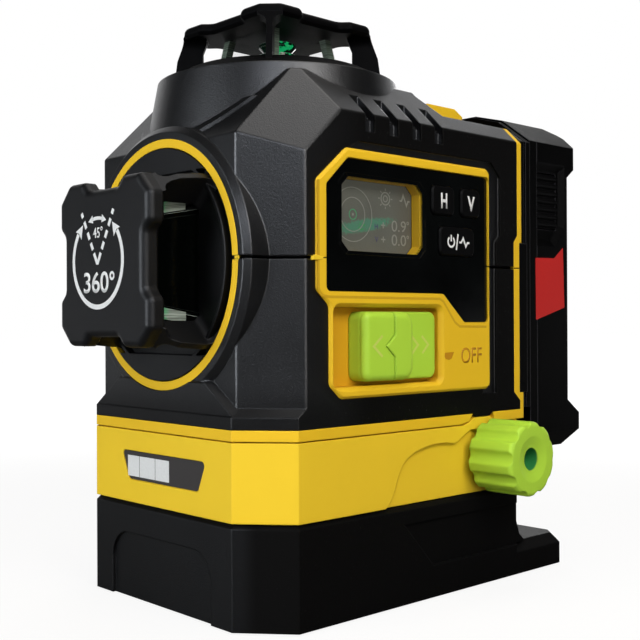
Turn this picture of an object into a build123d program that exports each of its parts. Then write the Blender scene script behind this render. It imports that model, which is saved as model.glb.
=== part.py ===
"""Cross line laser level on a turning base, in millimetres.

+Z is up, +X is the control side, -Y is the front emitter and +Y the battery.
The origin lies on the turning axis, on the surface that the level stands on.
"""
import math
import os

from build123d import *

# Foot, turning band and body in plan
HALF_W = 38.0
FRONT = -36.75
REAR = 52.0
FRONT_CHAMFER = (10.8, 9.55)
REAR_CHAMFER = 3.1
BASE_PLAN = [
    (HALF_W - FRONT_CHAMFER[0], FRONT),
    (HALF_W, FRONT + FRONT_CHAMFER[1]),
    (HALF_W, REAR - REAR_CHAMFER),
    (HALF_W - REAR_CHAMFER, REAR),
]
BODY_FRONT = -34.75
BODY_REAR = 52.0
BODY_CHAMFER_X = 26.4
BODY_CHAMFER_Y = -24.95
BODY_PLAN = [
    (BODY_CHAMFER_X, BODY_FRONT),
    (HALF_W, BODY_CHAMFER_Y),
    (HALF_W, BODY_REAR),
]
SKIRT_PLAN = BASE_PLAN[:2] + BODY_PLAN[2:]

# Foot
FOOT_Z = (0.4, 23.2)
FOOT_WALL = 3.0
FOOT_DECK = 20.0
FOOT_BEVEL = 0.9
TAIL_END = 72.1
TAIL_TOP = 8.4
TAIL_BEVEL = 2.4
TAIL_CORNER = 4.0
TAIL_ROOT = 40.0
TAIL_SLOPE = [(2.6, TAIL_TOP), (0.9, 10.6), (0.01, 14.0)]
RELIEF = 0.8
ARCH_HALF_W = 19.8
ARCH_TOP = 16.0
ARCH_CORNER = 6.5
SIDE_RELIEF = [(5.7, 19.0), (16.0, 8.0), (58.0, 8.0), (58.0, 19.0)]
PLATE_Z = (0.6, 2.6)
FOOT_POST_R = 3.5
FOOT_POSTS = [(29.0, -20.0), (29.0, 43.0)]
PAD_R = 5.0
PAD_TOP = 1.4
PADS = [(20.0, -27.0), (21.0, 44.0)]

# Turning pivot, stacked up the axis
FLANGE_R = 17.0
FLANGE_Z = (15.8, FOOT_DECK)
COLUMN_R = 11.0
NECK_R = 10.0
JOURNAL_R = 9.0
JOURNAL_TOP = 29.2
SHAFT_R = 8.0
SHAFT_TOP = 40.2
RUN_FIT = 0.06
TRIPOD_THREAD_R = 3.175
TRIPOD_DEPTH = 12.0
INSERT_R = 5.5
WASHER_Z = (FOOT_Z[1], 24.2)
WASHER_R = (10.2, 15.5)
FRICTION_Z = (JOURNAL_TOP, 29.7)
FRICTION_R = (8.2, 11.5)
CLUTCH_SPRING_Z = (36.0, 37.2)
CLUTCH_NUT_Z = (37.2, SHAFT_TOP)
CLUTCH_NUT_R = 11.0
FLANGE_SCREW_R = 13.6

# Worm drive of the fine turn
WHEEL_TEETH = 42
MODULE = 1.5
WHEEL_R = MODULE * WHEEL_TEETH / 2
WORM_Y = 36.7
WORM_Z = 32.7
WORM_LEAD = math.pi * MODULE
WORM_ROOT_R = 3.6
WORM_TIP_R = 6.4
WORM_TURNS = 4.5
THREAD_TIP_W = 0.9
THREAD_ROOT_W = 1.9
WHEEL_Z = (WORM_Z - 2.2, WORM_Z + 2.2)
WHEEL_TIP_R = WHEEL_R + 1.3
WHEEL_ROOT_R = WHEEL_R - 1.8
TOOTH_TIP_SHARE = 0.16
TOOTH_ROOT_SHARE = 0.336
HUB_R = 12.0
HUB_Z = (FRICTION_Z[1], CLUTCH_SPRING_Z[0])
WEB_Z = (WORM_Z - 1.2, WORM_Z + 1.2)
RIM_R = 25.5
WORM_SHAFT_R = 3.0
WORM_SHAFT_X = (-19.0, 47.0)
BUSH_X = 14.5
BUSH_LENGTH = 6.0
BUSH_R = 4.6
BEARING_BLOCK = (6.0, 10.4)
BEARING_BLOCK_TOP = 39.0

# Knob
KNOB_X = (39.0, 51.9)
KNOB_R = 9.1
KNOB_FLUTES = 10
FLUTE_R = 2.0
FLUTE_OUT = 1.0
FLUTE_START = 13.0
LOBE_ROUND = 0.8
KNOB_DISH_R = (5.6, 3.3)
KNOB_DISH = 0.7
KNOB_HOLE_R = 2.75
KNOB_HOLE_DEPTH = 4.6
KNOB_EDGE = (0.9, 0.3)
SEAL_R = 5.0
SEAL_X = (36.6, 37.8)

# Yellow turning band
BAND_Z = (23.47, 40.6)
BAND_WALL = 2.6
BAND_FLOOR = 25.9
SCOOP_DEPTH = 1.2
SCOOP = [(-4.6, 22.5), (2.4, 27.3), (5.2, 33.0), (9.0, 35.4), (24.0, 36.4)]
SCOOP_REAR = [(30.0, 39.4), (46.0, 39.4), (46.0, 22.5)]
LABEL_X = 1.3
LABEL_HALF_W = (16.9, 13.9)
LABEL_Z = (28.75, 35.8)
LABEL_CORNER = 1.1
LABEL_DEPTH = 0.5
BAND_POST_R = 3.6
BAND_POSTS = [(31.0, -21.0), (31.0, 44.5)]
BEARING_BUSH_R = 11.0
BEARING_FLANGE_R = 13.0
BEARING_Z = (23.9, 28.8)
BEARING_FLANGE_Z = (BAND_FLOOR, 27.2)

# Body shell heights and wall build
LIP_Z = (40.9, 43.3)
PARTING_Z = 80.1
BODY_TOP = 123.7
SKIN = 1.8
WALL = 2.0
SKIN_GAP = 0.35
SHELL_GAP = 0.12
EDGE_ROUND = 1.0
SKIRT_TOP = 46.0
SKIRT_BLEND = 47.8
APRON_FRONT = -36.5
APRON_BACK = -33.0
APRON = [(27.3, LIP_Z[1]), (27.3, 46.1), (17.3, 53.0)]
APRON_SPREAD = (1.0, 1.6)
LIP_DIP = [(31.0, LIP_Z[1]), (32.1, 42.45), (37.7, 42.45), (38.9, LIP_Z[1])]
LIP_DIP_DEPTH = 1.2
LIP_DIP_ROOM = [
    (26.6, LIP_Z[0]), (29.5, 41.5), (30.9, LIP_Z[1]), (39.0, LIP_Z[1]), (39.5, 41.5), (41.6, LIP_Z[0]),
]
BAND_RISE = [(27.0, 40.5), (29.8, 41.3), (31.9, 42.3), (37.9, 42.3), (39.1, 41.3), (41.2, 40.5)]

# Roof facets, each as a point on it and its outward normal
ROOF_FRONT_Z = 107.2
ROOF_SIDE_Z = 112.9
ROOF_FACETS = [
    ((0, BODY_FRONT, ROOF_FRONT_Z), (0, -0.7055, 0.7087)),
    ((BODY_CHAMFER_X, BODY_FRONT, ROOF_FRONT_Z), (0.648, -0.521, 0.556)),
    ((-BODY_CHAMFER_X, BODY_FRONT, ROOF_FRONT_Z), (-0.648, -0.521, 0.556)),
    ((HALF_W, 0, ROOF_SIDE_Z), (0.697, 0, 0.717)),
    ((-HALF_W, 0, ROOF_SIDE_Z), (-0.697, 0, 0.717)),
    ((0, 20.0, BODY_TOP), (0, 0.79, 0.613)),
]
REAR_ROOF_Z = 117.2
REAR_ROOF_Y = 21.0
CREASE_RIB = 0.7
CREASE_RIB_W = 1.6
CREASE_RIB_TOP = 117.0
VENT_Y = (-5.25, 7.9)
VENTS = 4
VENT_W = 3.0
VENT_FACE_Z = 109.0
VENT_REACH = 32.6
VENT_DEPTH = 1.5
VENT_SLOPE_DEPTH = 2.1
HUMP_HALF_W = 26.0
HUMP = [(26.0, 115.6), (28.0, 122.0), (38.8, 122.0), (42.0, 120.3), (42.0, 115.6)]
POCKET_HALF_W = 32.6
POCKET_Y = (42.6, 55.0)
POCKET_FLOOR = 113.4
POCKET_WALL = 1.6

# Yellow strip round the rear edge
STRIP_FRONT = [(50.6, LIP_Z[1]), (50.6, 45.6), (48.0, 47.9), (48.0, 86.8), (49.5, 88.6), (49.5, BODY_TOP)]
STRIP_JOG = 1.6
STRIP_JOG_Z = (47.6, 86.8)

# Round turret on top and round boss in front
TURRET_FOOT_Z = 100.0
TURRET_FOOT_R = 35.0
TURRET_Z = 125.5
TURRET_R = 30.3
EMIT_Z = 79.6
BOSS_R = 32.0
BOSS_FACE_R = 30.6
BOSS_FACE = 36.15
BOSS_BEVEL = 1.3
BOSS_BACK = 22.0
RING_R = (27.0, 29.0)
RING_DEPTH = 3.0
SEAT_R = 27.0
SEAT_DEPTH = 3.0
TOP_SEAT_R = 29.2
BEAM_HOLE_R = 11.6
DECK_UNDER = 119.3
FRONT_INNER = -30.4

# Guards over the emitters, built pointing up from their base plane
GUARD_HALF_W = 18.7
GUARD_CORNER = 4.2
GUARD_NOTCH_W = (8.2, 6.2)
GUARD_NOTCH = 2.2
GUARD_HEIGHT = 15.3
FRONT_PLATE = 4.4
TOP_PLATE = 2.9
GUARD_ROUND = 1.7
GUARD_CORNER_ROUND = 1.9
GUARD_BACK_BEVEL = 0.8
FIN_R = (19.0, 26.4)
FIN_BULGE = (25.6, 7.2)
FIN_TOP_R = 23.4
FIN_W = 1.5
FIN_FLARE = 1.6
FIN_SPREAD = 2.2
BASE_THICK = 3.0
BASE_R = 25.0
BASE_FLANGE = 1.0
BASE_RECESS_R = 24.2
BASE_RECESS = 1.6
COLLAR_R = (29.0, 26.6)
COLLAR_RISE = 1.3
LAND_EDGE = 20.6
PANE_FOOT = 12.3
PANE_HEAD = 9.6
PANE_T = 1.1
PANE_HOLE = 13.4
TOP_BASE = 125.7
FRONT_BASE = 36.4

# Control side
BEZEL = [
    (-22.25, 96.9), (-13.2, 104.7), (37.4, 104.7), (37.4, 49.3),
    (-15.0, 49.3), (-18.5, 52.4), (-18.5, 69.9), (-22.25, 73.1),
]
BEZEL_CORNER = 1.8
PANEL = [
    (-19.6, 96.2), (-13.0, 102.5), (36.8, 102.5), (36.8, 66.0),
    (26.9, 66.0), (19.0, 72.9), (-19.6, 72.9),
]
PANEL_CORNER = 1.2
PANEL_X = (37.0, 38.0)
PANEL_FIT = 0.1
BEZEL_RISE = 0.7
BEZEL_EDGE = 0.6
CHANNEL = [
    (-8.6, 106.6), (38.6, 106.6), (42.3, 103.0), (42.3, 88.2), (40.6, 86.4), (40.6, 48.0),
    (35.0, 48.0), (35.0, 103.0), (-13.6, 103.0), (-14.4, 103.9),
]
CHANNEL_DEPTH = 0.7
WINDOW_Y = (-14.3, 12.5)
WINDOW_Z = (82.0, 98.4)
WINDOW_CORNER = 2.0
WINDOW_LEDGE = 0.8
KEYS = {
    "h_button": (19.5, 95.45, 8.4, 7.0),
    "v_button": (29.8, 95.45, 7.4, 7.0),
    "power_button": (24.6, 85.75, 13.2, 7.0),
}
KEY_CORNER = 1.5
KEY_X = (32.6, 38.6)
KEY_FLANGE = 0.8
KEY_FLANGE_X = 34.0
KEY_FIT = 0.15
KEY_EDGE = 0.4
MAT_X = (30.5, 31.3)
MAT_POST_X = 31.7
MAT_POST_R = 2.0
MAT_Y = (14.2, 34.0)
BOARD_X = (29.0, 30.5)
BOARD_Y = (-18.5, 38.0)
BOARD_Z = (80.9, 101.6)
BOARD_POST_R = 1.8
BOARD_POSTS = [(-16.6, 82.9), (-16.6, 99.4), (36.2, 82.9), (36.2, 99.4)]
MODULE_Y = (-14.6, 13.6)
MODULE_Z = (81.2, 99.3)

# Lock switch and the pad that holds the pendulum
SWITCH_Y = (-8.8, 17.8)
SWITCH_Z = (52.8, 68.6)
SWITCH_TRAVEL = 8.0
SWITCH_BASE_X = 34.3
SWITCH_LOW_X = 37.2
SWITCH_BLOCK_X = 38.6
SWITCH_RIB_X = 39.9
SWITCH_RIB_Y = (0.9, 7.6)
SWITCH_CORNER = 2.0
SWITCH_RIB_CORNER = 3.2
SWITCH_EDGE = 1.1
SWITCH_RIB_EDGE = 1.8
SWITCH_LOW_EDGE = 0.6
DART_HALF = 2.5
DART_REACH = 2.9
SLOT_Y = (-17.2, 18.2)
SLOT_Z = (51.9, 69.5)
SLOT_X = 34.2
SLOT_CORNER = 1.4
SLOT_MOUTH_X = 37.6
SLOT_MOUTH = (0.5, 1.0)
SLOT_MOUTH_Z = 0.9
SLOT_BLOCK_X = 31.2
NECK_Y = (1.5, 7.5)
NECK_Z = (57.0, 61.0)
NECK_FIT = 0.4
TONGUE_X = (28.4, 30.4)
TONGUE_Y = (-3.5, 11.5)
TONGUE_Z = (44.4, 62.0)
PIN_R = 1.3
PIN_Z = 48.2
PIN_X = (25.0, 31.0)
PIN_FIT = 0.2
PAD_DROP = 1.5
LOCK_R = 12.0
LOCK_Z = 46.9
LOCK_ARM_X = 26.0
LOCK_ARM_HALF = 2.0
LOCK_ARM_Z = (46.9, 49.4)
LOCK_POST_R = 3.0
LOCK_POST_Z = 42.6
LOCK_SLEEVE = (5.0, 45.1)
LOCK_GAP = 0.15

# Pendulum on its two-axis gimbal
PIVOT_Z = 100.0
GIMBAL_R = (14.5, 18.5)
GIMBAL_HALF_H = 2.6
GIMBAL_PIN_R = 1.5
GIMBAL_PIN_INSET = 1.0
CHASSIS_X = 27.0
CHASSIS_Y = 22.0
CHASSIS_Z = (97.8, 102.2)
CHASSIS_HOLE_R = 20.0
CHASSIS_POST_R = 3.4
CHASSIS_POSTS = (22.6, 17.0)
HUB_HALF_H = 6.0
PENDULUM_HUB_R = 11.0
STEM_X = 9.5
STEM_Y = 9.0
STEM_BOTTOM = 62.0
BARREL_R = 6.5
TOP_BARREL_Z = (88.0, 124.0)
FRONT_BARREL_Y = (-33.0, 38.0)
CONE_R = 5.0
CONE_HEIGHT = 10.0
CONE_DIP_R = 4.5
CONE_DIP = 6.5
BARREL_NOSE = 3.0
BARREL_STEP = 1.0
BOB_R = 13.0
BOB_SPHERE = 50.0
TRIM_SCREW_R = 1.5
TRIM_SCREW_Z = 68.0

# Battery dock and pack
DOCK_Y = (52.0, 56.6)
DOCK_PROFILE = [(37.0, 43.6), (37.0, 113.8), (28.0, 120.4), (19.0, 123.0)]
DOCK_GROOVE_Y = (54.0, 54.7)
DOCK_GROOVE = 0.8
DOCK_OPEN_X = 26.0
DOCK_OPEN_Z = (62.0, 104.0)
DOCK_OPEN_DEPTH = 2.6
PACK_Y = (57.2, 79.7)
PACK_SPLIT = 60.5
PACK_HALF_W = 36.5
PACK_PROFILE = [(PACK_HALF_W, 31.6), (PACK_HALF_W, 114.6), (27.5, 121.2), (18.5, 123.6)]
PACK_CORNER = 5.0
BUMPER_REAR = 85.2
CAP_REAR = 82.9
PACK_STEPS = [
    (31.6, 81.4, 33.0), (36.0, BUMPER_REAR, PACK_HALF_W), (40.6, BUMPER_REAR, PACK_HALF_W),
    (44.4, PACK_Y[1], PACK_HALF_W), (106.2, PACK_Y[1], PACK_HALF_W), (108.6, CAP_REAR, PACK_HALF_W),
    (115.0, CAP_REAR, PACK_HALF_W), (119.4, 79.6, PACK_HALF_W), (123.6, 71.0, PACK_HALF_W),
]
CELL_X = (-19.5, 0.0, 19.5)
CELL_Y = 68.55
CELL_R = 9.2
CELL_Z = (38.0, 103.0)
CELL_FIT = 0.12
STRAP_T = 0.6
STRAP_HALF = (24.0, 4.0)
GRIP_Y = (61.3, 70.4)
GRIP_Z = (91.6, 106.4)
GRIP_X = (33.7, 35.3)
GRIP_RIBS = 7
GRIP_RIB_R = 0.75
GRIP_POCKET_X = 32.4
GRIP_FIT = 0.35
GRIP_ROD_R = 1.2
GRIP_ROD_X = 31.0
GRIP_ROD_HOLE_X = 29.6
GRIP_RODS = [(66.0, 93.0), (66.0, 102.5)]
SIDE_PANEL = [(60.5, 88.5), (67.9, 88.5), (71.8, 92.7), (71.8, 107.2), (60.5, 107.2)]
SIDE_PANEL_DEPTH = 1.2
SIDE_PANEL_SLOPE = 2.0
BLADE_X = (-9.0, -3.0, 3.0, 9.0)
BLADE_HALF_T = 0.4
BLADE_Z = (50.0, 57.0)
BLADE_Y = (53.6, 58.9)
BLADE_FIT = 0.5

# Screws
SCREW_R = 1.5
SCREW_HEAD_R = 2.8
SCREW_HEAD = 1.8
HOUSING_POSTS = [(24.5, -26.0), (24.5, 42.0)]
HOUSING_POST_R = 3.5
HOUSING_SCREW_TOP = 94.0
DOCK_SCREWS = [(31.5, 50.0), (31.5, 108.0)]

UP = (0, 0, 1)
LOW = (Align.CENTER, Align.CENTER, Align.MIN)
FRONT_OUT = Pos(0, 0, EMIT_Z) * Rot(90, 0, 0)
KNOB_OUT = Pos(0, WORM_Y, WORM_Z) * Rot(0, 90, 0)


# Small building functions
def both(points):
    """Close a right-hand half outline with its mirror image."""
    return points + [(-x, y) for x, y in reversed(points)]


def pairs(points):
    """Repeat places on the right at the left."""
    return [(sign * x, y) for x, y in points for sign in (1, -1)]


def block(x, y, z):
    middle = Pos((x[0] + x[1]) / 2, (y[0] + y[1]) / 2, (z[0] + z[1]) / 2)
    return middle * Box(x[1] - x[0], y[1] - y[0], z[1] - z[0])


def plan_face(points, inset=0.0, soft=0.0):
    face = Polygon(*points, align=None)
    if inset:
        face = offset(face, -inset, kind=Kind.INTERSECTION)
    if soft:
        face = fillet(face.vertices(), soft)
    return face


def slab_z(points, z, inset=0.0):
    return extrude(Pos(0, 0, z[0]) * plan_face(points, inset), z[1] - z[0], dir=UP)


def slab_x(points, x, inset=0.0, soft=0.0):
    return extrude(Plane.YZ.offset(x[0]) * plan_face(points, inset, soft), x[1] - x[0], dir=(1, 0, 0))


def slab_y(points, y, inset=0.0, soft=0.0):
    return extrude(Plane.XZ.offset(-y[0]) * plan_face(points, inset, soft), y[1] - y[0], dir=(0, 1, 0))


def rod_z(r, z, at=(0, 0)):
    return Pos(at[0], at[1], z[0]) * Cylinder(r, z[1] - z[0], align=LOW)


def rod_x(r, x, at):
    return Pos(x[0], at[0], at[1]) * Rot(0, 90, 0) * Cylinder(r, x[1] - x[0], align=LOW)


def rod_y(r, y, at):
    return Pos(at[0], y[0], at[1]) * Rot(-90, 0, 0) * Cylinder(r, y[1] - y[0], align=LOW)


def tube_z(r, z):
    return rod_z(r[1], z) - rod_z(r[0], z)


def turned(profile):
    """Revolve a profile of (radius, height) points about Z."""
    return revolve(Plane.XZ * Polygon(*profile, align=None), Axis.Z)


def rounded(y, z, corner, x):
    """Round-cornered plate on the control side, given by its limits."""
    face = RectangleRounded(y[1] - y[0], z[1] - z[0], corner)
    place = Plane.YZ.offset(x[0]) * Pos((y[0] + y[1]) / 2, (z[0] + z[1]) / 2)
    return extrude(place * face, x[1] - x[0], dir=(1, 0, 0))


def screws_z(places, head_z, tip_z):
    """Screws put in from below, head down."""
    group = []
    for at in places:
        head = rod_z(SCREW_HEAD_R, (head_z, head_z + SCREW_HEAD), at)
        group.append(head + rod_z(SCREW_R, (head_z, tip_z), at))
    return Compound(children=group)


def cut_all(shape, tools):
    for tool in tools:
        shape = shape - tool
    return shape


def mirrored(shape):
    return mirror(shape, about=Plane.YZ)


# Screw groups, which also cut their own holes
def bottom_screws():
    return screws_z(pairs(FOOT_POSTS), PLATE_Z[0], FOOT_DECK - FOOT_WALL)


def flange_screws():
    quarter = [(0, FLANGE_SCREW_R), (FLANGE_SCREW_R, 0), (0, -FLANGE_SCREW_R), (-FLANGE_SCREW_R, 0)]
    return screws_z(quarter, FLANGE_Z[0] - SCREW_HEAD, FOOT_Z[1] - FOOT_BEVEL)


def band_screws():
    return screws_z(pairs(BAND_POSTS), BAND_Z[0] + FOOT_BEVEL, LIP_Z[1] - FOOT_BEVEL)


def housing_screws():
    return screws_z(pairs(HOUSING_POSTS), LIP_Z[0] + SKIN_GAP, HOUSING_SCREW_TOP)


def chassis_screws():
    x, y = CHASSIS_POSTS
    return screws_z(pairs([(x, y), (x, -y)]), LIP_Z[0] + SKIN_GAP, LIP_Z[1] + LOCK_R)


def dock_screws():
    group = []
    for at in pairs(DOCK_SCREWS):
        head = rod_y(SCREW_HEAD_R, (DOCK_Y[1] - SCREW_HEAD, DOCK_Y[1]), at)
        group.append(head + rod_y(SCREW_R, (DOCK_Y[0] - WALL - SKIN, DOCK_Y[1]), at))
    return Compound(children=group)


# Foot and pivot
def arch_relief():
    """Shallow arch sunk in the front of the foot."""
    tall = RectangleRounded(2 * ARCH_HALF_W, 2 * ARCH_TOP, ARCH_CORNER)
    return extrude(Plane.XZ.offset(-FRONT - RELIEF) * tall, 2 * RELIEF, dir=(0, -1, 0))


def foot_tail():
    """Low tail behind the foot, bevelled round its top, with a hollow slope at its root."""
    plan = [(HALF_W, TAIL_ROOT), (HALF_W, TAIL_END - TAIL_CORNER), (HALF_W - TAIL_CORNER, TAIL_END)]
    tail = slab_z(both(plan), (FOOT_Z[0], TAIL_TOP))
    top = tail.faces().sort_by(Axis.Z)[-1]
    tail = chamfer([edge for edge in top.edges() if edge.center().Y > REAR], TAIL_BEVEL)
    root = both([(HALF_W, TAIL_ROOT)] + BASE_PLAN[2:])
    levels = [Pos(0, 0, z) * plan_face(root, -grow) for grow, z in TAIL_SLOPE]
    slope = loft(levels[:2]) + loft(levels[1:])
    return tail + (slope & block((-HALF_W, HALF_W), (TAIL_ROOT, TAIL_END), FOOT_Z))


def foot_base():
    shell = slab_z(both(BASE_PLAN), FOOT_Z)
    shell = chamfer(shell.faces().sort_by(Axis.Z)[-1].edges(), FOOT_BEVEL)
    shell = shell + foot_tail()
    shell = shell - slab_z(both(BASE_PLAN), (FOOT_Z[0], FOOT_DECK), FOOT_WALL)
    inner = HALF_W - FOOT_WALL
    tail_room = (REAR - 2 * FOOT_WALL, TAIL_END - TAIL_CORNER - FOOT_WALL)
    shell = shell - block((-inner, inner), tail_room, (FOOT_Z[0], TAIL_TOP - FOOT_WALL))
    for at in pairs(FOOT_POSTS):
        shell = shell + rod_z(FOOT_POST_R, (PLATE_Z[1], FOOT_DECK), at)
    shell = shell - arch_relief()
    for sign in (1, -1):
        edge = sorted((sign * (HALF_W - RELIEF), sign * (HALF_W + RELIEF)))
        shell = shell - slab_x(SIDE_RELIEF, edge)
    shell = shell - rod_z(NECK_R, (0, BAND_Z[1]))
    return cut_all(shell, [bottom_screws(), flange_screws()])


def bottom_plate():
    plate = slab_z(both(BASE_PLAN), PLATE_Z, FOOT_WALL + PANEL_FIT)
    plate = plate - rod_z(COLUMN_R + RUN_FIT, PLATE_Z)
    plate = plate - rubber_feet()
    return plate - bottom_screws()


def rubber_feet():
    return Compound(children=[rod_z(PAD_R, (0, PAD_TOP), at) for at in pairs(PADS)])


def spindle():
    profile = [
        (0, PLATE_Z[0]), (COLUMN_R, PLATE_Z[0]), (COLUMN_R, FLANGE_Z[0]), (FLANGE_R, FLANGE_Z[0]),
        (FLANGE_R, FLANGE_Z[1]), (NECK_R, FLANGE_Z[1]), (NECK_R, FOOT_Z[1]), (JOURNAL_R, FOOT_Z[1]),
        (JOURNAL_R, JOURNAL_TOP), (SHAFT_R, JOURNAL_TOP), (SHAFT_R, SHAFT_TOP), (0, SHAFT_TOP),
    ]
    post = turned(profile) - rod_z(INSERT_R, (PLATE_Z[0], PLATE_Z[0] + TRIPOD_DEPTH))
    return post - flange_screws()


def tripod_insert():
    return tube_z((TRIPOD_THREAD_R, INSERT_R), (PLATE_Z[0], PLATE_Z[0] + TRIPOD_DEPTH))


def thrust_washer():
    return tube_z(WASHER_R, WASHER_Z)


def friction_washer():
    return tube_z(FRICTION_R, FRICTION_Z)


def clutch_spring():
    """Coned disc spring under the clutch nut."""
    low, high = CLUTCH_SPRING_Z
    thick = (high - low) / 2
    inner = SHAFT_R + 2 * RUN_FIT
    return turned([(inner, high - thick), (HUB_R, low), (HUB_R, low + thick), (inner, high)])


def clutch_nut():
    low, high = CLUTCH_NUT_Z
    hexagon = extrude(Pos(0, 0, low) * RegularPolygon(CLUTCH_NUT_R, 6), high - low)
    return hexagon - rod_z(SHAFT_R, CLUTCH_NUT_Z)


# Worm drive and knob
def worm_wheel():
    pitch = 2 * math.pi / WHEEL_TEETH
    outline = []
    for tooth in range(WHEEL_TEETH):
        middle = math.pi / 2 + tooth * pitch
        corners = (
            (WHEEL_ROOT_R, -TOOTH_ROOT_SHARE), (WHEEL_TIP_R, -TOOTH_TIP_SHARE),
            (WHEEL_TIP_R, TOOTH_TIP_SHARE), (WHEEL_ROOT_R, TOOTH_ROOT_SHARE),
        )
        for radius, share in corners:
            angle = middle + share * pitch
            outline.append((radius * math.cos(angle), radius * math.sin(angle)))
    wheel = slab_z(outline, WHEEL_Z)
    for z in ((WHEEL_Z[0], WEB_Z[0]), (WEB_Z[1], WHEEL_Z[1])):
        wheel = wheel - tube_z((HUB_R, RIM_R), z)
    wheel = wheel + rod_z(HUB_R, HUB_Z)
    return wheel - rod_z(SHAFT_R + RUN_FIT, HUB_Z)


def worm_shaft():
    """Shaft with one helical thread, its crests set into the gaps of the wheel."""
    height = WORM_TURNS * WORM_LEAD
    start = -WORM_TURNS / 2 * WORM_LEAD
    path = Helix(WORM_LEAD, height, WORM_ROOT_R)
    section = Plane(origin=path @ 0, x_dir=(1, 0, 0), z_dir=path % 0)
    half_root = THREAD_ROOT_W / 2
    half_tip = THREAD_TIP_W / 2
    sunk = -FOOT_BEVEL
    tall = WORM_TIP_R - WORM_ROOT_R
    tooth = Polygon((sunk, -half_root), (tall, -half_tip), (tall, half_tip), (sunk, half_root), align=None)
    thread = sweep(section * tooth, path, is_frenet=True)
    core = Cylinder(WORM_ROOT_R, height, align=LOW)
    worm = KNOB_OUT * Pos(0, 0, start) * (core + thread)
    return worm + rod_x(WORM_SHAFT_R, WORM_SHAFT_X, (WORM_Y, WORM_Z))


def worm_bushes():
    group = []
    for sign in (1, -1):
        x = (sign * BUSH_X - BUSH_LENGTH / 2, sign * BUSH_X + BUSH_LENGTH / 2)
        bush = rod_x(BUSH_R, x, (WORM_Y, WORM_Z))
        group.append(bush - rod_x(WORM_SHAFT_R + RUN_FIT, x, (WORM_Y, WORM_Z)))
    return Compound(children=group)


def shaft_seal():
    ring = rod_x(SEAL_R, SEAL_X, (WORM_Y, WORM_Z))
    return ring - rod_x(WORM_SHAFT_R + RUN_FIT, SEAL_X, (WORM_Y, WORM_Z))


def knob():
    """Lobed knob with soft edges, a coned dish and a deep centre hole in its face."""
    length = KNOB_X[1] - KNOB_X[0]
    face = Circle(KNOB_R)
    for flute in range(KNOB_FLUTES):
        turn = Rot(0, 0, FLUTE_START + 360 * flute / KNOB_FLUTES)
        face = face - turn * Pos(KNOB_R + FLUTE_OUT, 0) * Circle(FLUTE_R)
    face = fillet(face.vertices(), LOBE_ROUND)
    wide, slight = KNOB_EDGE
    soft = [
        (0, 0), (KNOB_R - slight, 0), (KNOB_R, slight), (KNOB_R, length - wide),
        (KNOB_R - slight, length - slight), (KNOB_R - wide, length), (0, length),
    ]
    body = extrude(face, length, dir=UP) & turned(soft)
    floor = length - KNOB_DISH
    body = body - turned([(0, floor), (KNOB_DISH_R[1], floor), (KNOB_DISH_R[0], length), (0, length)])
    body = body - Pos(0, 0, length - KNOB_HOLE_DEPTH) * Cylinder(KNOB_HOLE_R, length, align=LOW)
    body = KNOB_OUT * Pos(0, 0, KNOB_X[0]) * body
    return body - rod_x(WORM_SHAFT_R, WORM_SHAFT_X, (WORM_Y, WORM_Z))


# Yellow turning band
def scoop():
    """Hollow in the band that leaves room for fingers ahead of the knob."""
    curve = Spline(*[(y, z) for y, z in SCOOP])
    rest = Polyline(SCOOP[-1], *SCOOP_REAR, SCOOP[0])
    face = make_face([curve, rest])
    return extrude(Plane.YZ.offset(HALF_W - SCOOP_DEPTH) * face, 2 * SCOOP_DEPTH, dir=(1, 0, 0))


def label_recess():
    wide, narrow = LABEL_HALF_W
    face = both([(wide, LABEL_Z[1]), (narrow, LABEL_Z[0])])
    plate = slab_y(face, (FRONT - LABEL_DEPTH, FRONT + LABEL_DEPTH), soft=LABEL_CORNER)
    return Pos(LABEL_X, 0, 0) * plate


def turntable_housing():
    band = slab_z(both(BASE_PLAN), BAND_Z)
    band = band - slab_z(both(BASE_PLAN), (BAND_FLOOR, BAND_Z[1]), BAND_WALL)
    for at in pairs(BAND_POSTS):
        band = band + rod_z(BAND_POST_R, (BAND_FLOOR, LIP_Z[0]), at)
    half_x, half_y = BEARING_BLOCK[0] / 2, BEARING_BLOCK[1] / 2
    for sign in (1, -1):
        x = (sign * BUSH_X - half_x, sign * BUSH_X + half_x)
        y = (WORM_Y - half_y, WORM_Y + half_y)
        band = band + block(x, y, (BAND_FLOOR, BEARING_BLOCK_TOP)) - rod_x(BUSH_R, x, (WORM_Y, WORM_Z))
    wall = (HALF_W - BAND_WALL, HALF_W)
    band = band - scoop() - label_recess()
    band = band + slab_x(BAND_RISE, (HALF_W - LIP_DIP_DEPTH + PANEL_FIT, HALF_W))
    band = band - rod_x(WORM_SHAFT_R + KEY_FIT, wall, (WORM_Y, WORM_Z))
    band = band - rod_x(SEAL_R, (SEAL_X[0], HALF_W), (WORM_Y, WORM_Z))
    band = band - rod_z(WASHER_R[1] + KEY_FIT, (BAND_Z[0], WASHER_Z[1]))
    band = band - rod_z(BEARING_BUSH_R, BAND_Z)
    return band - band_screws()


def pivot_bush():
    bush = tube_z((JOURNAL_R + RUN_FIT, BEARING_BUSH_R), (WASHER_Z[1] + PIN_FIT, BEARING_Z[1]))
    return bush + tube_z((BEARING_BUSH_R - RUN_FIT, BEARING_FLANGE_R), BEARING_FLANGE_Z)


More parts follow.
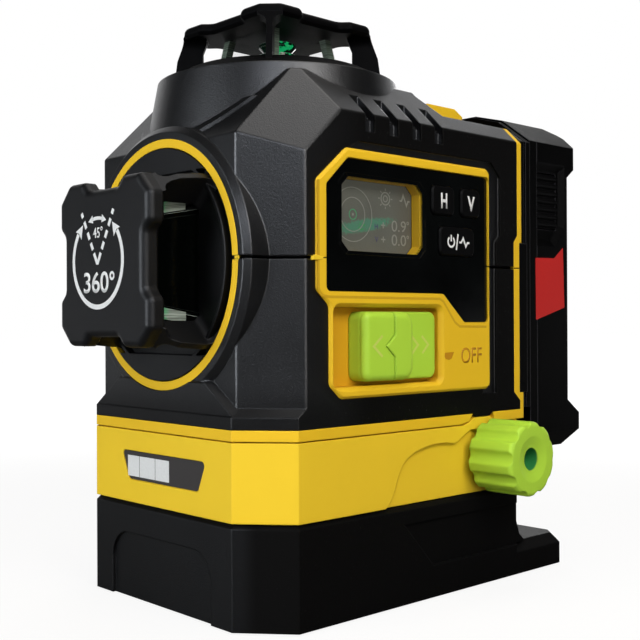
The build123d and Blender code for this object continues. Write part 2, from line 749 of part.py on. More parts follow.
# Outer form of the body; an inset gives the same form one skin further in
def body_prism(inset, edge_round=0.0):
    prism = slab_z(both(BODY_PLAN), (LIP_Z[1], BODY_TOP - inset), inset)
    for point, normal in ROOF_FACETS[:-1]:
        at = Vector(point) - Vector(normal) * inset
        prism = split(prism, bisect_by=Plane(origin=at, z_dir=normal), keep=Keep.BOTTOM)
    if edge_round:
        prism = fillet([edge for edge in prism.edges() if edge.center().Z > SKIRT_TOP], edge_round)
    rear = (REAR_ROOF_Y - inset, REAR)
    low_roof = block((-HALF_W, HALF_W), rear, (REAR_ROOF_Z - inset, BODY_TOP + SKIN))
    point, normal = ROOF_FACETS[-1]
    ramp = Plane(origin=Vector(point) - Vector(normal) * inset, z_dir=normal)
    keep_front = split(prism, bisect_by=ramp, keep=Keep.BOTTOM)
    return keep_front + (prism - low_roof)


def turret(inset, swell=0.0):
    foot_r = TURRET_FOOT_R - inset + swell
    height = TURRET_Z - inset - TURRET_FOOT_Z
    cone = Cone(foot_r, TURRET_R - inset + swell, height, align=LOW)
    return Pos(0, 0, TURRET_FOOT_Z) * cone


def boss(inset):
    face = BOSS_FACE - inset
    outer = BOSS_R - inset
    profile = [
        (0, BOSS_BACK), (outer, BOSS_BACK), (outer, face - BOSS_BEVEL),
        (BOSS_FACE_R - inset, face), (0, face),
    ]
    return FRONT_OUT * turned(profile)


def skirt(inset):
    """Foot of the body, which spreads out to the lip, and the apron under the boss."""
    upright = slab_z(both(SKIRT_PLAN), (LIP_Z[1], SKIRT_TOP), inset)
    upright = upright & block((-HALF_W, HALF_W), (FRONT, BODY_REAR - inset), (LIP_Z[1], SKIRT_BLEND))
    wide = Pos(0, 0, SKIRT_TOP) * plan_face(both(SKIRT_PLAN), inset)
    slim = Pos(0, 0, SKIRT_BLEND) * plan_face(both(BODY_PLAN), inset)
    back_edge = [(x + APRON_SPREAD[0], z + APRON_SPREAD[1]) for x, z in APRON]
    front_face = Plane.XZ.offset(-APRON_FRONT - inset) * plan_face(both(APRON), inset)
    back_face = Plane.XZ.offset(-APRON_BACK - inset) * plan_face(both(back_edge), inset)
    apron = loft([front_face, back_face])
    apron = apron & block((-HALF_W, HALF_W), (FRONT, 0), (LIP_Z[1], BODY_TOP))
    apron = apron - FRONT_OUT * Pos(0, 0, BOSS_FACE - inset) * Cylinder(RING_R[1], SKIN, align=LOW)
    return upright + loft([wide, slim]) + apron


def body_form(inset):
    return body_prism(inset) + turret(inset) + boss(inset) + skirt(inset)


def outer_form():
    rib = turret(0, CREASE_RIB_W) & body_prism(-CREASE_RIB)
    rib = rib & block((-HALF_W, HALF_W), (FRONT, REAR), (TURRET_FOOT_Z, CREASE_RIB_TOP))
    return body_prism(0, EDGE_ROUND) + turret(0) + boss(0) + skirt(0) + rib


# What shows of the yellow shell, and what is cut through shell and skin
def bezel():
    frame = slab_x(BEZEL, (HALF_W - SKIN - WALL, HALF_W + BEZEL_RISE), soft=BEZEL_CORNER)
    return chamfer(frame.faces().sort_by(Axis.X)[-1].edges(), BEZEL_EDGE)


def ring():
    hoop = Cylinder(RING_R[1], RING_DEPTH, align=LOW) - Cylinder(RING_R[0], RING_DEPTH, align=LOW)
    return FRONT_OUT * Pos(0, 0, BOSS_FACE - RING_DEPTH) * hoop


def rear_strip():
    """Strip round the rear edge, with small jogs, and the yellow rear wall inside it."""
    strip = slab_x(STRIP_FRONT + [(BODY_REAR, BODY_TOP), (BODY_REAR, LIP_Z[1])], (-HALF_W, HALF_W))
    inner = HALF_W - SKIN
    wall = block((-inner, inner), (BODY_REAR - SKIN - SHELL_GAP, BODY_REAR), (LIP_Z[1], POCKET_FLOOR))
    return strip + wall


def strip_jogs():
    """Steps that narrow the strip from behind along its lower half."""
    right = block((HALF_W - SKIN, HALF_W), (BODY_REAR - STRIP_JOG, BODY_REAR), STRIP_JOG_Z)
    return [right, mirrored(right)]


def hump():
    return slab_x(HUMP, (-HUMP_HALF_W, HUMP_HALF_W))


def vents():
    """Slots over the roof edge of one side, each down the face and up the slope."""
    group = []
    for number in range(VENTS):
        middle = VENT_Y[0] + number * VENT_Y[1]
        rise = (HALF_W - VENT_REACH) * ROOF_FACETS[3][1][0] / ROOF_FACETS[3][1][2]
        profile = [
            (HALF_W - VENT_DEPTH, VENT_FACE_Z), (HALF_W + SKIN, VENT_FACE_Z),
            (HALF_W + SKIN, ROOF_SIDE_Z + SKIN), (VENT_REACH, ROOF_SIDE_Z + rise + SKIN),
            (VENT_REACH, ROOF_SIDE_Z + rise - VENT_SLOPE_DEPTH),
            (HALF_W - VENT_DEPTH, ROOF_SIDE_Z - VENT_SLOPE_DEPTH / 2),
        ]
        group.append(slab_y(profile, (middle - VENT_W / 2, middle + VENT_W / 2)))
    return group


def pocket():
    """Finger pocket in the roof, open towards the pack."""
    return block((-POCKET_HALF_W, POCKET_HALF_W), POCKET_Y, (POCKET_FLOOR, BODY_TOP))


def emitter_seats():
    front = FRONT_OUT * Pos(0, 0, BOSS_FACE - SEAT_DEPTH) * Cylinder(SEAT_R, REAR, align=LOW)
    top = rod_z(TOP_SEAT_R, (TURRET_Z - SEAT_DEPTH, TURRET_Z + SEAT_DEPTH))
    return [front, top, rod_z(BEAM_HOLE_R, (PIVOT_Z, TURRET_Z)), rod_y(BEAM_HOLE_R, (FRONT, 0), (0, EMIT_Z))]


def window_face(grow):
    wide = [WINDOW_Y[0] - grow, WINDOW_Y[1] + grow]
    tall = [WINDOW_Z[0] - grow, WINDOW_Z[1] + grow]
    cut = WINDOW_CORNER
    return [
        (wide[0] + cut, tall[0]), (wide[1] - cut, tall[0]),
        (wide[1], tall[0] + cut), (wide[1], tall[1] - cut),
        (wide[1] - cut, tall[1]), (wide[0] + cut, tall[1]),
        (wide[0], tall[1] - cut), (wide[0], tall[0] + cut),
    ]


def key_block(name, grow, x):
    y, z, wide, tall = KEYS[name]
    y_span = (y - wide / 2 - grow, y + wide / 2 + grow)
    z_span = (z - tall / 2 - grow, z + tall / 2 + grow)
    return rounded(y_span, z_span, KEY_CORNER, x)


def key_holes(x):
    return [key_block(name, KEY_FIT, x) for name in KEYS]


def slot_face(x, ahead, behind, up):
    """Round-cornered outline of the switch slot, widened by so much on its sides."""
    low, high = (SLOT_Y[0] - ahead, SLOT_Z[0] - up), (SLOT_Y[1] + behind, SLOT_Z[1] + up)
    face = RectangleRounded(high[0] - low[0], high[1] - low[1], SLOT_CORNER + up)
    return Plane.YZ.offset(x) * Pos((low[0] + high[0]) / 2, (low[1] + high[1]) / 2) * face


def switch_slot():
    wide = slot_face(HALF_W + BEZEL_RISE, *SLOT_MOUTH, SLOT_MOUTH_Z)
    mouth = loft([slot_face(SLOT_MOUTH_X, 0, 0, 0), wide])
    return extrude(slot_face(SLOT_X, 0, 0, 0), HALF_W + SKIN - SLOT_X, dir=(1, 0, 0)) + mouth


def neck_slot():
    y = (NECK_Y[0] - SWITCH_TRAVEL - NECK_FIT, NECK_Y[1] + NECK_FIT)
    z = (NECK_Z[0] - NECK_FIT, NECK_Z[1] + NECK_FIT)
    return block((SLOT_BLOCK_X, HALF_W), y, z)


# Yellow shells and black skins, made whole and then parted
def yellow_form(outer):
    core = body_form(SKIN) + (outer & (ring() + rear_strip())) + bezel() + hump()
    cavity = body_form(SKIN + WALL)
    room = block((-HALF_W, HALF_W), (FRONT_INNER, REAR), (LIP_Z[1], DECK_UNDER))
    shell = core - (cavity & room)
    slot_y = (SLOT_Y[0] - WALL, SLOT_Y[1] + WALL)
    slot_z = (SLOT_Z[0] - WALL, SLOT_Z[1] + WALL)
    shell = shell + block((SLOT_BLOCK_X, HALF_W - SKIN), slot_y, slot_z)
    posts = [rod_z(HOUSING_POST_R, (LIP_Z[1], BODY_TOP), at) for at in pairs(HOUSING_POSTS)]
    for post in posts:
        shell = shell + (post & body_form(SKIN))
    for y, z in BOARD_POSTS:
        shell = shell + rod_x(BOARD_POST_R, (BOARD_X[1], HALF_W - SKIN - WALL / 2), (y, z))
    wall = (POCKET_HALF_W + POCKET_WALL, POCKET_Y[0] - POCKET_WALL, POCKET_FLOOR - POCKET_WALL)
    tray = block((-wall[0], wall[0]), (wall[1], BODY_REAR), (wall[2], REAR_ROOF_Z))
    shell = shell + (tray & body_form(SKIN))
    shell = cut_all(shell, [pocket(), switch_slot(), neck_slot()] + emitter_seats())
    shell = shell - slab_x(PANEL, (PANEL_X[0], HALF_W + SKIN), soft=PANEL_CORNER)
    shell = shell - slab_x(window_face(0), (BOARD_X[1], HALF_W))
    through = (HALF_W - 2 * SKIN - WALL, HALF_W)
    return cut_all(shell, key_holes(through) + strip_jogs() + [housing_screws(), dock_screws()])


def half_room(z):
    """Room that holds one half of the yellow shell."""
    return block((-HALF_W, HALF_W + SKIN), (-BOSS_FACE - SKIN, REAR), z)


def upper_shell(whole):
    return whole & half_room((PARTING_Z + SHELL_GAP, TURRET_Z))


def lower_shell(whole):
    half = whole & half_room((LIP_Z[1], PARTING_Z - SHELL_GAP))
    floor = slab_z(both(SKIRT_PLAN), LIP_Z) - slab_x(LIP_DIP_ROOM, (HALF_W - LIP_DIP_DEPTH, HALF_W))
    half = half + floor + rod_z(LOCK_SLEEVE[0], (LIP_Z[0], LOCK_SLEEVE[1]))
    half = half - rod_z(LOCK_POST_R + PIN_FIT, (LIP_Z[0], LOCK_SLEEVE[1]))
    return cut_all(half, [band_screws(), housing_screws(), chassis_screws()])


def skin_form(outer):
    skin = cut_all(outer - body_form(SKIN), [bezel(), ring(), rear_strip(), hump()])
    skin = cut_all(skin, [pocket()] + emitter_seats())
    skin = skin - slab_x(CHANNEL, (HALF_W - CHANNEL_DEPTH, HALF_W + SKIN))
    for slot in vents():
        skin = skin - slot - mirrored(slot)
    return skin


def upper_overmould(whole):
    return whole & block((-HALF_W, HALF_W), (FRONT, REAR), (PARTING_Z + SKIN_GAP, TURRET_Z))


def lower_overmould(whole):
    half = whole & block((-HALF_W, HALF_W), (FRONT, REAR), (LIP_Z[1], PARTING_Z - SKIN_GAP))
    return half + slab_x(LIP_DIP, (HALF_W - LIP_DIP_DEPTH + PANEL_FIT, HALF_W))


# Guards and windows over the emitters
def guard_outline():
    """One quarter of the plate edge, with its ear and half of two notches, turned four times."""
    edge = GUARD_HALF_W
    sunk = edge - GUARD_NOTCH
    ear = edge - GUARD_CORNER
    quarter = [(sunk, GUARD_NOTCH_W[1]), (edge, GUARD_NOTCH_W[0]), (edge, ear), (ear, edge)]
    quarter = quarter + [(GUARD_NOTCH_W[0], edge), (GUARD_NOTCH_W[1], sunk)]
    outline = []
    for _ in range(4):
        outline = outline + quarter
        quarter = [(-y, x) for x, y in quarter]
    return outline


def guard_plate(thick):
    under = GUARD_HEIGHT - thick
    face = Pos(0, 0, under) * plan_face(guard_outline(), soft=GUARD_CORNER_ROUND)
    plate = extrude(face, thick, dir=UP)
    plate = fillet(plate.faces().sort_by(Axis.Z)[-1].edges(), GUARD_ROUND)
    return chamfer(plate.faces().sort_by(Axis.Z)[0].edges(), GUARD_BACK_BEVEL)


def guard_fins(foot, thick):
    """Four thin fins under the corners of the plate, spread where they meet plate and base."""
    under = GUARD_HEIGHT - thick
    head = under + GUARD_BACK_BEVEL
    flare = FIN_FLARE
    profile = [
        (FIN_R[0] - flare, foot), (FIN_R[1], foot), (FIN_R[1], COLLAR_RISE), FIN_BULGE, (FIN_TOP_R, head),
        (FIN_R[0] - flare, head), (FIN_R[0], under - 2 * flare), (FIN_R[0], foot + 2 * flare),
    ]
    blade = extrude(Plane.XZ * plan_face(profile), FIN_W / 2 + FIN_SPREAD, both=True)
    side = SlotOverall(under + BASE_RECESS, 2 * FIN_SPREAD, rotation=90)
    for sign in (1, -1):
        place = Plane.YZ * Pos(sign * (FIN_W / 2 + FIN_SPREAD), (under - BASE_RECESS) / 2)
        blade = blade - extrude(place * side, 2 * FIN_R[1], dir=(1, 0, 0))
    return [Rot(0, 0, 45 + 90 * turn) * blade for turn in range(4)]


def pane_room():
    return Pos(0, 0, -BASE_THICK) * extrude(Rectangle(2 * PANE_HOLE, 2 * PANE_HOLE), 2 * BASE_THICK, dir=UP)


def guard(collar, thick):
    """Plate on four fins; the top one has a coned collar, the front one two flat lands."""
    base = turned([
        (0, -BASE_THICK), (SEAT_R - PIN_FIT, -BASE_THICK), (SEAT_R - PIN_FIT, BASE_FLANGE - BASE_THICK),
        (BASE_R, BASE_FLANGE - BASE_THICK), (BASE_R, 0), (0, 0),
    ])
    if collar:
        flare = COLLAR_R[0]
        base = turned([
            (0, -BASE_THICK), (flare, -BASE_THICK), (flare, 0), (COLLAR_R[1], COLLAR_RISE),
            (BASE_RECESS_R, COLLAR_RISE), (BASE_RECESS_R, 0), (0, 0),
        ])
    base = base - Pos(0, 0, -BASE_RECESS) * Cylinder(BASE_RECESS_R, BASE_THICK, align=LOW)
    if not collar:
        land = Pos(0, 0, -BASE_THICK) * Cylinder(SEAT_R - PIN_FIT, BASE_THICK, align=LOW)
        wide = (-GUARD_HALF_W * 2, GUARD_HALF_W * 2)
        base = base + (land - block(wide, (-LAND_EDGE, LAND_EDGE), (-BASE_THICK, BASE_THICK)))
    base = base - pane_room()
    shape = base + guard_plate(thick)
    for fin in guard_fins(-BASE_RECESS - PANE_T, thick):
        shape = shape + fin
    return shape


def window(thick):
    """Four glass panes leaning inwards, bonded at their edges."""
    low = -BASE_THICK
    high = GUARD_HEIGHT - thick
    feet = []
    for shrink in (0, PANE_T):
        foot = Pos(0, 0, low) * Rectangle(2 * (PANE_FOOT - shrink), 2 * (PANE_FOOT - shrink))
        head = Pos(0, 0, high) * Rectangle(2 * (PANE_HEAD - shrink), 2 * (PANE_HEAD - shrink))
        feet.append(loft([foot, head]))
    return feet[0] - feet[1]


# Control side pieces
def display_panel():
    sheet = slab_x(PANEL, PANEL_X, PANEL_FIT, PANEL_CORNER)
    sheet = sheet - slab_x(window_face(WINDOW_LEDGE + PANEL_FIT / 2), PANEL_X)
    return cut_all(sheet, key_holes(PANEL_X))


def display_window():
    return slab_x(window_face(WINDOW_LEDGE), PANEL_X)


def display_module():
    return block((BOARD_X[1], HALF_W - SKIN - WALL), MODULE_Y, MODULE_Z)


def button(name):
    cap = key_block(name, 0, KEY_X)
    front = cap.faces().sort_by(Axis.X)[-1]
    cap = chamfer(front.edges(), KEY_EDGE)
    return cap + key_block(name, KEY_FLANGE, (KEY_X[0], KEY_FLANGE_X))


def key_mat():
    mat = block(MAT_X, MAT_Y, BOARD_Z)
    for y, z, _, _ in KEYS.values():
        mat = mat + rod_x(MAT_POST_R, (MAT_X[0], MAT_POST_X), (y, z))
    return mat


def control_board():
    return block(BOARD_X, BOARD_Y, BOARD_Z)


def switch_step(y, corner, x, edge):
    """One level of the switch, a round-cornered plate with its front edge rounded over."""
    plate = rounded(y, SWITCH_Z, corner, (SWITCH_BASE_X, x))
    return fillet(plate.faces().sort_by(Axis.X)[-1].edges(), edge)


def lock_slider():
    plate = switch_step(SWITCH_Y, SWITCH_CORNER, SWITCH_LOW_X, SWITCH_LOW_EDGE)
    ahead = block((SWITCH_BASE_X, SWITCH_RIB_X), (SWITCH_Y[0], SWITCH_RIB_Y[0]), SWITCH_Z)
    behind = block((SWITCH_BASE_X, SWITCH_RIB_X), SWITCH_RIB_Y, SWITCH_Z)
    plate = plate + (switch_step(SWITCH_Y, SWITCH_CORNER, SWITCH_BLOCK_X, SWITCH_EDGE) & ahead)
    crest = (SWITCH_Y[0], SWITCH_RIB_Y[1])
    plate = plate + (switch_step(crest, SWITCH_RIB_CORNER, SWITCH_RIB_X, SWITCH_RIB_EDGE) & behind)
    middle = (SWITCH_Z[0] + SWITCH_Z[1]) / 2
    edge = SWITCH_RIB_Y[0]
    dart = [(edge, middle - DART_HALF), (edge, middle + DART_HALF), (edge - DART_REACH, middle)]
    plate = plate + slab_x(dart, (SWITCH_BASE_X, SWITCH_RIB_X))
    neck = block((TONGUE_X[0], SWITCH_BASE_X), NECK_Y, NECK_Z)
    tongue = block(TONGUE_X, TONGUE_Y, TONGUE_Z)
    half = PIN_R + PIN_FIT
    end = PIN_Z - PAD_DROP
    ramp = [(0, PIN_Z - half), (0, PIN_Z + half), (SWITCH_TRAVEL, end + half), (SWITCH_TRAVEL, end - half)]
    tongue = tongue - slab_x(ramp, TONGUE_X)
    for y, z in ((0, PIN_Z), (SWITCH_TRAVEL, end)):
        tongue = tongue - rod_x(half, TONGUE_X, (y, z))
    return plate + neck + tongue


def lock_pad():
    """Cup that rises under the pendulum, carried by the pin in the switch's ramp."""
    cup = rod_z(LOCK_R, (LOCK_Z, PIVOT_Z - BOB_SPHERE + FOOT_BEVEL))
    cup = cup - Pos(0, 0, PIVOT_Z) * Sphere(BOB_SPHERE + LOCK_GAP)
    arm = block((0, LOCK_ARM_X), (-LOCK_ARM_HALF, LOCK_ARM_HALF), LOCK_ARM_Z)
    arm = arm - Pos(0, 0, PIVOT_Z) * Sphere(BOB_SPHERE + LOCK_GAP)
    pin = rod_x(PIN_R, PIN_X, (0, PIN_Z))
    return cup + arm + pin + rod_z(LOCK_POST_R, (LOCK_POST_Z, LOCK_Z))


# Gimbal and pendulum
def chassis():
    plate = block((-CHASSIS_X, CHASSIS_X), (-CHASSIS_Y, CHASSIS_Y), CHASSIS_Z)
    plate = plate - rod_z(CHASSIS_HOLE_R, CHASSIS_Z)
    x, y = CHASSIS_POSTS
    for at in pairs([(x, y), (x, -y)]):
        plate = plate + rod_z(CHASSIS_POST_R, (LIP_Z[1], CHASSIS_Z[0]), at)
    plate = plate - rod_x(GIMBAL_PIN_R + RUN_FIT, (-CHASSIS_X, CHASSIS_X), (0, PIVOT_Z))
    return plate - chassis_screws()


def gimbal_ring():
    height = (PIVOT_Z - GIMBAL_HALF_H, PIVOT_Z + GIMBAL_HALF_H)
    hoop = tube_z(GIMBAL_R, height)
    hoop = hoop - rod_x(GIMBAL_PIN_R, (-CHASSIS_X, CHASSIS_X), (0, PIVOT_Z))
    return hoop - rod_y(GIMBAL_PIN_R + RUN_FIT, (-CHASSIS_X, CHASSIS_X), (0, PIVOT_Z))


def side_pins():
    near = GIMBAL_R[0] + GIMBAL_PIN_INSET
    far = CHASSIS_X - GIMBAL_PIN_INSET
    right = rod_x(GIMBAL_PIN_R, (near, far), (0, PIVOT_Z))
    return Compound(children=[right, mirrored(right)])


def cross_pins():
    near = PENDULUM_HUB_R - WALL
    far = GIMBAL_R[1] - GIMBAL_PIN_INSET
    rear = rod_y(GIMBAL_PIN_R, (near, far), (0, PIVOT_Z))
    front = rod_y(GIMBAL_PIN_R, (-far, -near), (0, PIVOT_Z))
    return Compound(children=[rear, front])


def pendulum_frame():
    frame = rod_z(PENDULUM_HUB_R, (PIVOT_Z - HUB_HALF_H, PIVOT_Z + HUB_HALF_H))
    frame = frame + block((-STEM_X, STEM_X), (-STEM_Y, STEM_Y), (STEM_BOTTOM, PIVOT_Z - HUB_HALF_H))
    frame = frame - rod_z(BARREL_R, (TOP_BARREL_Z[0], TOP_BARREL_Z[1]))
    frame = frame - rod_y(BARREL_R, FRONT_BARREL_Y, (0, EMIT_Z))
    return frame - cross_pins() - trim_screws()


def barrel(length):
    """Laser tube with a stepped nose, pointing up from its back end."""
    nose = BARREL_R - BARREL_STEP
    return turned([
        (0, 0), (BARREL_R, 0), (BARREL_R, length - BARREL_NOSE), (nose, length - BARREL_NOSE),
        (nose, length), (0, length),
    ])


def cone_prism():
    """Glass prism with a coned hollow that throws the beam out all round."""
    dip = CONE_HEIGHT - CONE_DIP
    return turned([
        (0, 0), (CONE_R, 0), (CONE_R, CONE_HEIGHT), (CONE_DIP_R, CONE_HEIGHT), (0, dip),
    ])


def bob():
    weight = rod_z(BOB_R, (PIVOT_Z - BOB_SPHERE, STEM_BOTTOM))
    return weight & Pos(0, 0, PIVOT_Z) * Sphere(BOB_SPHERE)


def trim_screws():
    """Balance screws in the stem, one for each direction of tilt."""
    length = BOB_R
    across = rod_x(TRIM_SCREW_R, (STEM_X - WALL, length), (0, TRIM_SCREW_Z))
    along = rod_y(TRIM_SCREW_R, (STEM_Y - WALL, length), (0, TRIM_SCREW_Z))
    return Compound(children=[across, along])


# Battery dock and pack
def dock_contacts():
    group = []
    for x in BLADE_X:
        group.append(block((x - BLADE_HALF_T, x + BLADE_HALF_T), BLADE_Y, BLADE_Z))
    return Compound(children=group)


def battery_dock():
    frame = slab_y(both(DOCK_PROFILE), DOCK_Y)
    rim = slab_y(both(DOCK_PROFILE), DOCK_GROOVE_Y)
    frame = frame - (rim - slab_y(both(DOCK_PROFILE), DOCK_GROOVE_Y, DOCK_GROOVE))
    hollow = block((-DOCK_OPEN_X, DOCK_OPEN_X), (DOCK_Y[1] - DOCK_OPEN_DEPTH, DOCK_Y[1]), DOCK_OPEN_Z)
    frame = frame - hollow - pocket()
    tab_y = (BODY_REAR - STRIP_JOG + PANEL_FIT, DOCK_Y[1] - DOCK_OPEN_DEPTH)
    tab_z = (STRIP_JOG_Z[0] + PANEL_FIT, STRIP_JOG_Z[1] - PANEL_FIT)
    tab = block((HALF_W - SKIN + PANEL_FIT, HALF_W - PANEL_FIT), tab_y, tab_z)
    frame = frame + tab + mirrored(tab)
    return cut_all(frame, [dock_contacts(), dock_screws()])


def pack_plan(z, rear, wide):
    outline = both([(wide, PACK_Y[0]), (wide, rear - PACK_CORNER), (wide - PACK_CORNER, rear)])
    return Pos(0, 0, z) * plan_face(outline)


def pack_form():
    """Whole pack: bumper at the foot, straight middle and overhanging cap under a crowned top."""
    levels = [pack_plan(*step) for step in PACK_STEPS]
    form = loft(levels[:2])
    for low, high in zip(levels[1:], levels[2:]):
        form = form + loft([low, high])
    return form & slab_y(both(PACK_PROFILE), (PACK_Y[0], BUMPER_REAR))


def cell_rooms():
    height = (CELL_Z[0] - STRAP_T, CELL_Z[1] + STRAP_T)
    return [rod_z(CELL_R + CELL_FIT, height, (x, CELL_Y)) for x in CELL_X]


def blade_slots():
    group = []
    for x in BLADE_X:
        slot_x = (x - BLADE_HALF_T - BLADE_FIT, x + BLADE_HALF_T + BLADE_FIT)
        slot_z = (BLADE_Z[0] - BLADE_FIT, BLADE_Z[1] + BLADE_FIT)
        group.append(block(slot_x, (PACK_Y[0], PACK_SPLIT), slot_z))
    return group


def battery_tray(form):
    front = form & block((-HALF_W, HALF_W), (PACK_Y[0], PACK_SPLIT), (0, BODY_TOP))
    return cut_all(front, cell_rooms() + blade_slots())


def battery_case(form):
    rear = form & block((-HALF_W, HALF_W), (PACK_SPLIT, BUMPER_REAR), (0, BODY_TOP))
    rear = cut_all(rear, cell_rooms())
    rear = rear - cell_straps()
    wide = PACK_HALF_W
    y = (GRIP_Y[0] - GRIP_FIT, GRIP_Y[1] + GRIP_FIT)
    z = (GRIP_Z[0] - GRIP_FIT, GRIP_Z[1] + GRIP_FIT)
    floor = Plane.YZ.offset(wide - SIDE_PANEL_DEPTH) * plan_face(SIDE_PANEL)
    mouth = Plane.YZ.offset(wide) * plan_face(SIDE_PANEL, -SIDE_PANEL_SLOPE)
    cuts = [loft([floor, mouth]), block((GRIP_POCKET_X, wide), y, z)]
    for at in GRIP_RODS:
        cuts.append(rod_x(GRIP_ROD_R + PANEL_FIT, (GRIP_ROD_HOLE_X, wide), at))
    for cut in cuts:
        rear = rear - cut - mirrored(cut)
    return rear


def battery_cells():
    return Compound(children=[rod_z(CELL_R, CELL_Z, (x, CELL_Y)) for x in CELL_X])


def cell_straps():
    """Metal straps across the ends of the cells."""
    group = []
    for z in ((CELL_Z[0] - STRAP_T, CELL_Z[0]), (CELL_Z[1], CELL_Z[1] + STRAP_T)):
        x, y = STRAP_HALF
        group.append(block((-x, x), (CELL_Y - y, CELL_Y + y), z))
    return Compound(children=group)


def release_grip():
    """Ribbed grip of the right side, guided by two rods."""
    plate = block(GRIP_X, GRIP_Y, GRIP_Z)
    pitch = (GRIP_Z[1] - GRIP_Z[0]) / GRIP_RIBS
    for number in range(GRIP_RIBS):
        z = GRIP_Z[0] + pitch * (number + 0.5)
        plate = plate + rod_y(GRIP_RIB_R, GRIP_Y, (GRIP_X[1], z))
    for at in GRIP_RODS:
        plate = plate + rod_x(GRIP_ROD_R, (GRIP_ROD_X, GRIP_X[0]), at)
    return plate


def build():
    outer = outer_form()
    yellow = yellow_form(outer)
    skin = skin_form(outer)
    pack = pack_form()
    front_guard = FRONT_OUT * Pos(0, 0, FRONT_BASE)
    top_guard = Pos(0, 0, TOP_BASE)
    front_back = FRONT_OUT * Pos(0, 0, -FRONT_BARREL_Y[1])
    front_length = FRONT_BARREL_Y[1] - FRONT_BARREL_Y[0]
    top_length = TOP_BARREL_Z[1] - TOP_BARREL_Z[0]
    grip = release_grip()
    return {
        "foot_base": foot_base(),
        "bottom_plate": bottom_plate(),
        "rubber_feet": rubber_feet(),
        "bottom_screws": bottom_screws(),
        "spindle": spindle(),
        "flange_screws": flange_screws(),
        "tripod_insert": tripod_insert(),
        "thrust_washer": thrust_washer(),
        "clutch_spring": clutch_spring(),
        "clutch_nut": clutch_nut(),
        "friction_washer": friction_washer(),
        "worm_wheel": worm_wheel(),
        "worm_shaft": worm_shaft(),
        "worm_bushes": worm_bushes(),
        "shaft_seal": shaft_seal(),
        "knob": knob(),
        "turntable_housing": turntable_housing(),
        "pivot_bush": pivot_bush(),
        "band_screws": band_screws(),
        "lower_shell": lower_shell(yellow),
        "upper_shell": upper_shell(yellow),
        "lower_overmould": lower_overmould(skin),
        "upper_overmould": upper_overmould(skin),
        "housing_screws": housing_screws(),
        "front_guard": front_guard * guard(False, FRONT_PLATE),
        "top_guard": top_guard * guard(True, TOP_PLATE),
        "front_window": front_guard * window(FRONT_PLATE),
        "top_window": top_guard * window(TOP_PLATE),
        "display_panel": display_panel(),
        "display_window": display_window(),
        "display_module": display_module(),
        "control_board": control_board(),
        "key_mat": key_mat(),
        "h_button": button("h_button"),
        "v_button": button("v_button"),
        "power_button": button("power_button"),
        "lock_slider": lock_slider(),
        "lock_pad": lock_pad(),
        "chassis": chassis(),
        "chassis_screws": chassis_screws(),
        "gimbal_ring": gimbal_ring(),
        "side_pins": side_pins(),
        "cross_pins": cross_pins(),
        "pendulum_frame": pendulum_frame(),
        "top_laser": Pos(0, 0, TOP_BARREL_Z[0]) * barrel(top_length),
        "front_laser": front_back * barrel(front_length),
        "top_cone": Pos(0, 0, TOP_BARREL_Z[1]) * cone_prism(),
        "front_cone": FRONT_OUT * Pos(0, 0, -FRONT_BARREL_Y[0]) * cone_prism(),
        "pendulum_bob": bob(),
        "trim_screws": trim_screws(),
        "battery_dock": battery_dock(),
        "dock_contacts": dock_contacts(),
        "dock_screws": dock_screws(),
        "battery_tray": battery_tray(pack),
        "battery_case": battery_case(pack),
        "battery_cells": battery_cells(),
        "cell_straps": cell_straps(),
        "right_grip": grip,
        "left_grip": mirrored(grip),
    }


os.makedirs("parts", exist_ok=True)
for node, shape in build().items():
    export_step(shape, f"parts/{node}.step")
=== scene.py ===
"""Looks of a cross line laser level: finishes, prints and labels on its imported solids."""

import math

import bmesh
import bpy
from mathutils import Matrix, Vector


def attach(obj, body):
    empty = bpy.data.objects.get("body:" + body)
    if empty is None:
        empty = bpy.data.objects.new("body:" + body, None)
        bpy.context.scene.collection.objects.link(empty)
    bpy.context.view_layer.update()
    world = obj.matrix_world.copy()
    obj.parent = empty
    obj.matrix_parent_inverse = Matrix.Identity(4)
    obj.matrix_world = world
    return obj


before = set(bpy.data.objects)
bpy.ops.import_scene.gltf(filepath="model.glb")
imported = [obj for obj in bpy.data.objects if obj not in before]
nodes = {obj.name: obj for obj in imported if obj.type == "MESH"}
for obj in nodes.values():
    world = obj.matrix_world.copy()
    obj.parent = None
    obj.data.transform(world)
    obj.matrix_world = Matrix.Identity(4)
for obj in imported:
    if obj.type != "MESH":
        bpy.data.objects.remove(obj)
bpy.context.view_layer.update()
MM = 0.001

# Places of the faces that carry prints and plates, in millimetres
GUARD_FACE = -51.7
LABEL_FLOOR = -36.25
RING_FACE = -35.9
SCREEN_FACE = 34.2
PACK_FACE = 36.5
SLIDER_LOW_FACE = 37.2
LENS_FACE = 38.0
KEY_FACE = 38.6
BEZEL_FACE = 38.7
PAD_FACE = 39.7

# Middle of the front emitter and of the knob, in millimetres
EMIT_Z = 79.6
KNOB_Y = 36.7
KNOB_Z = 32.7

# Thickness of inks, painted shade lines, plates and tabs, how far they sit in and how round a plate's rim
# is, in millimetres
INK = 0.02
SHADE_LINE = 0.01
SEGMENT = 0.03
PLATE = 0.3
BEZEL_TAB = 0.74
RING_TAB = 0.25
SUNK = 0.05
SOFT_RIM = 0.08

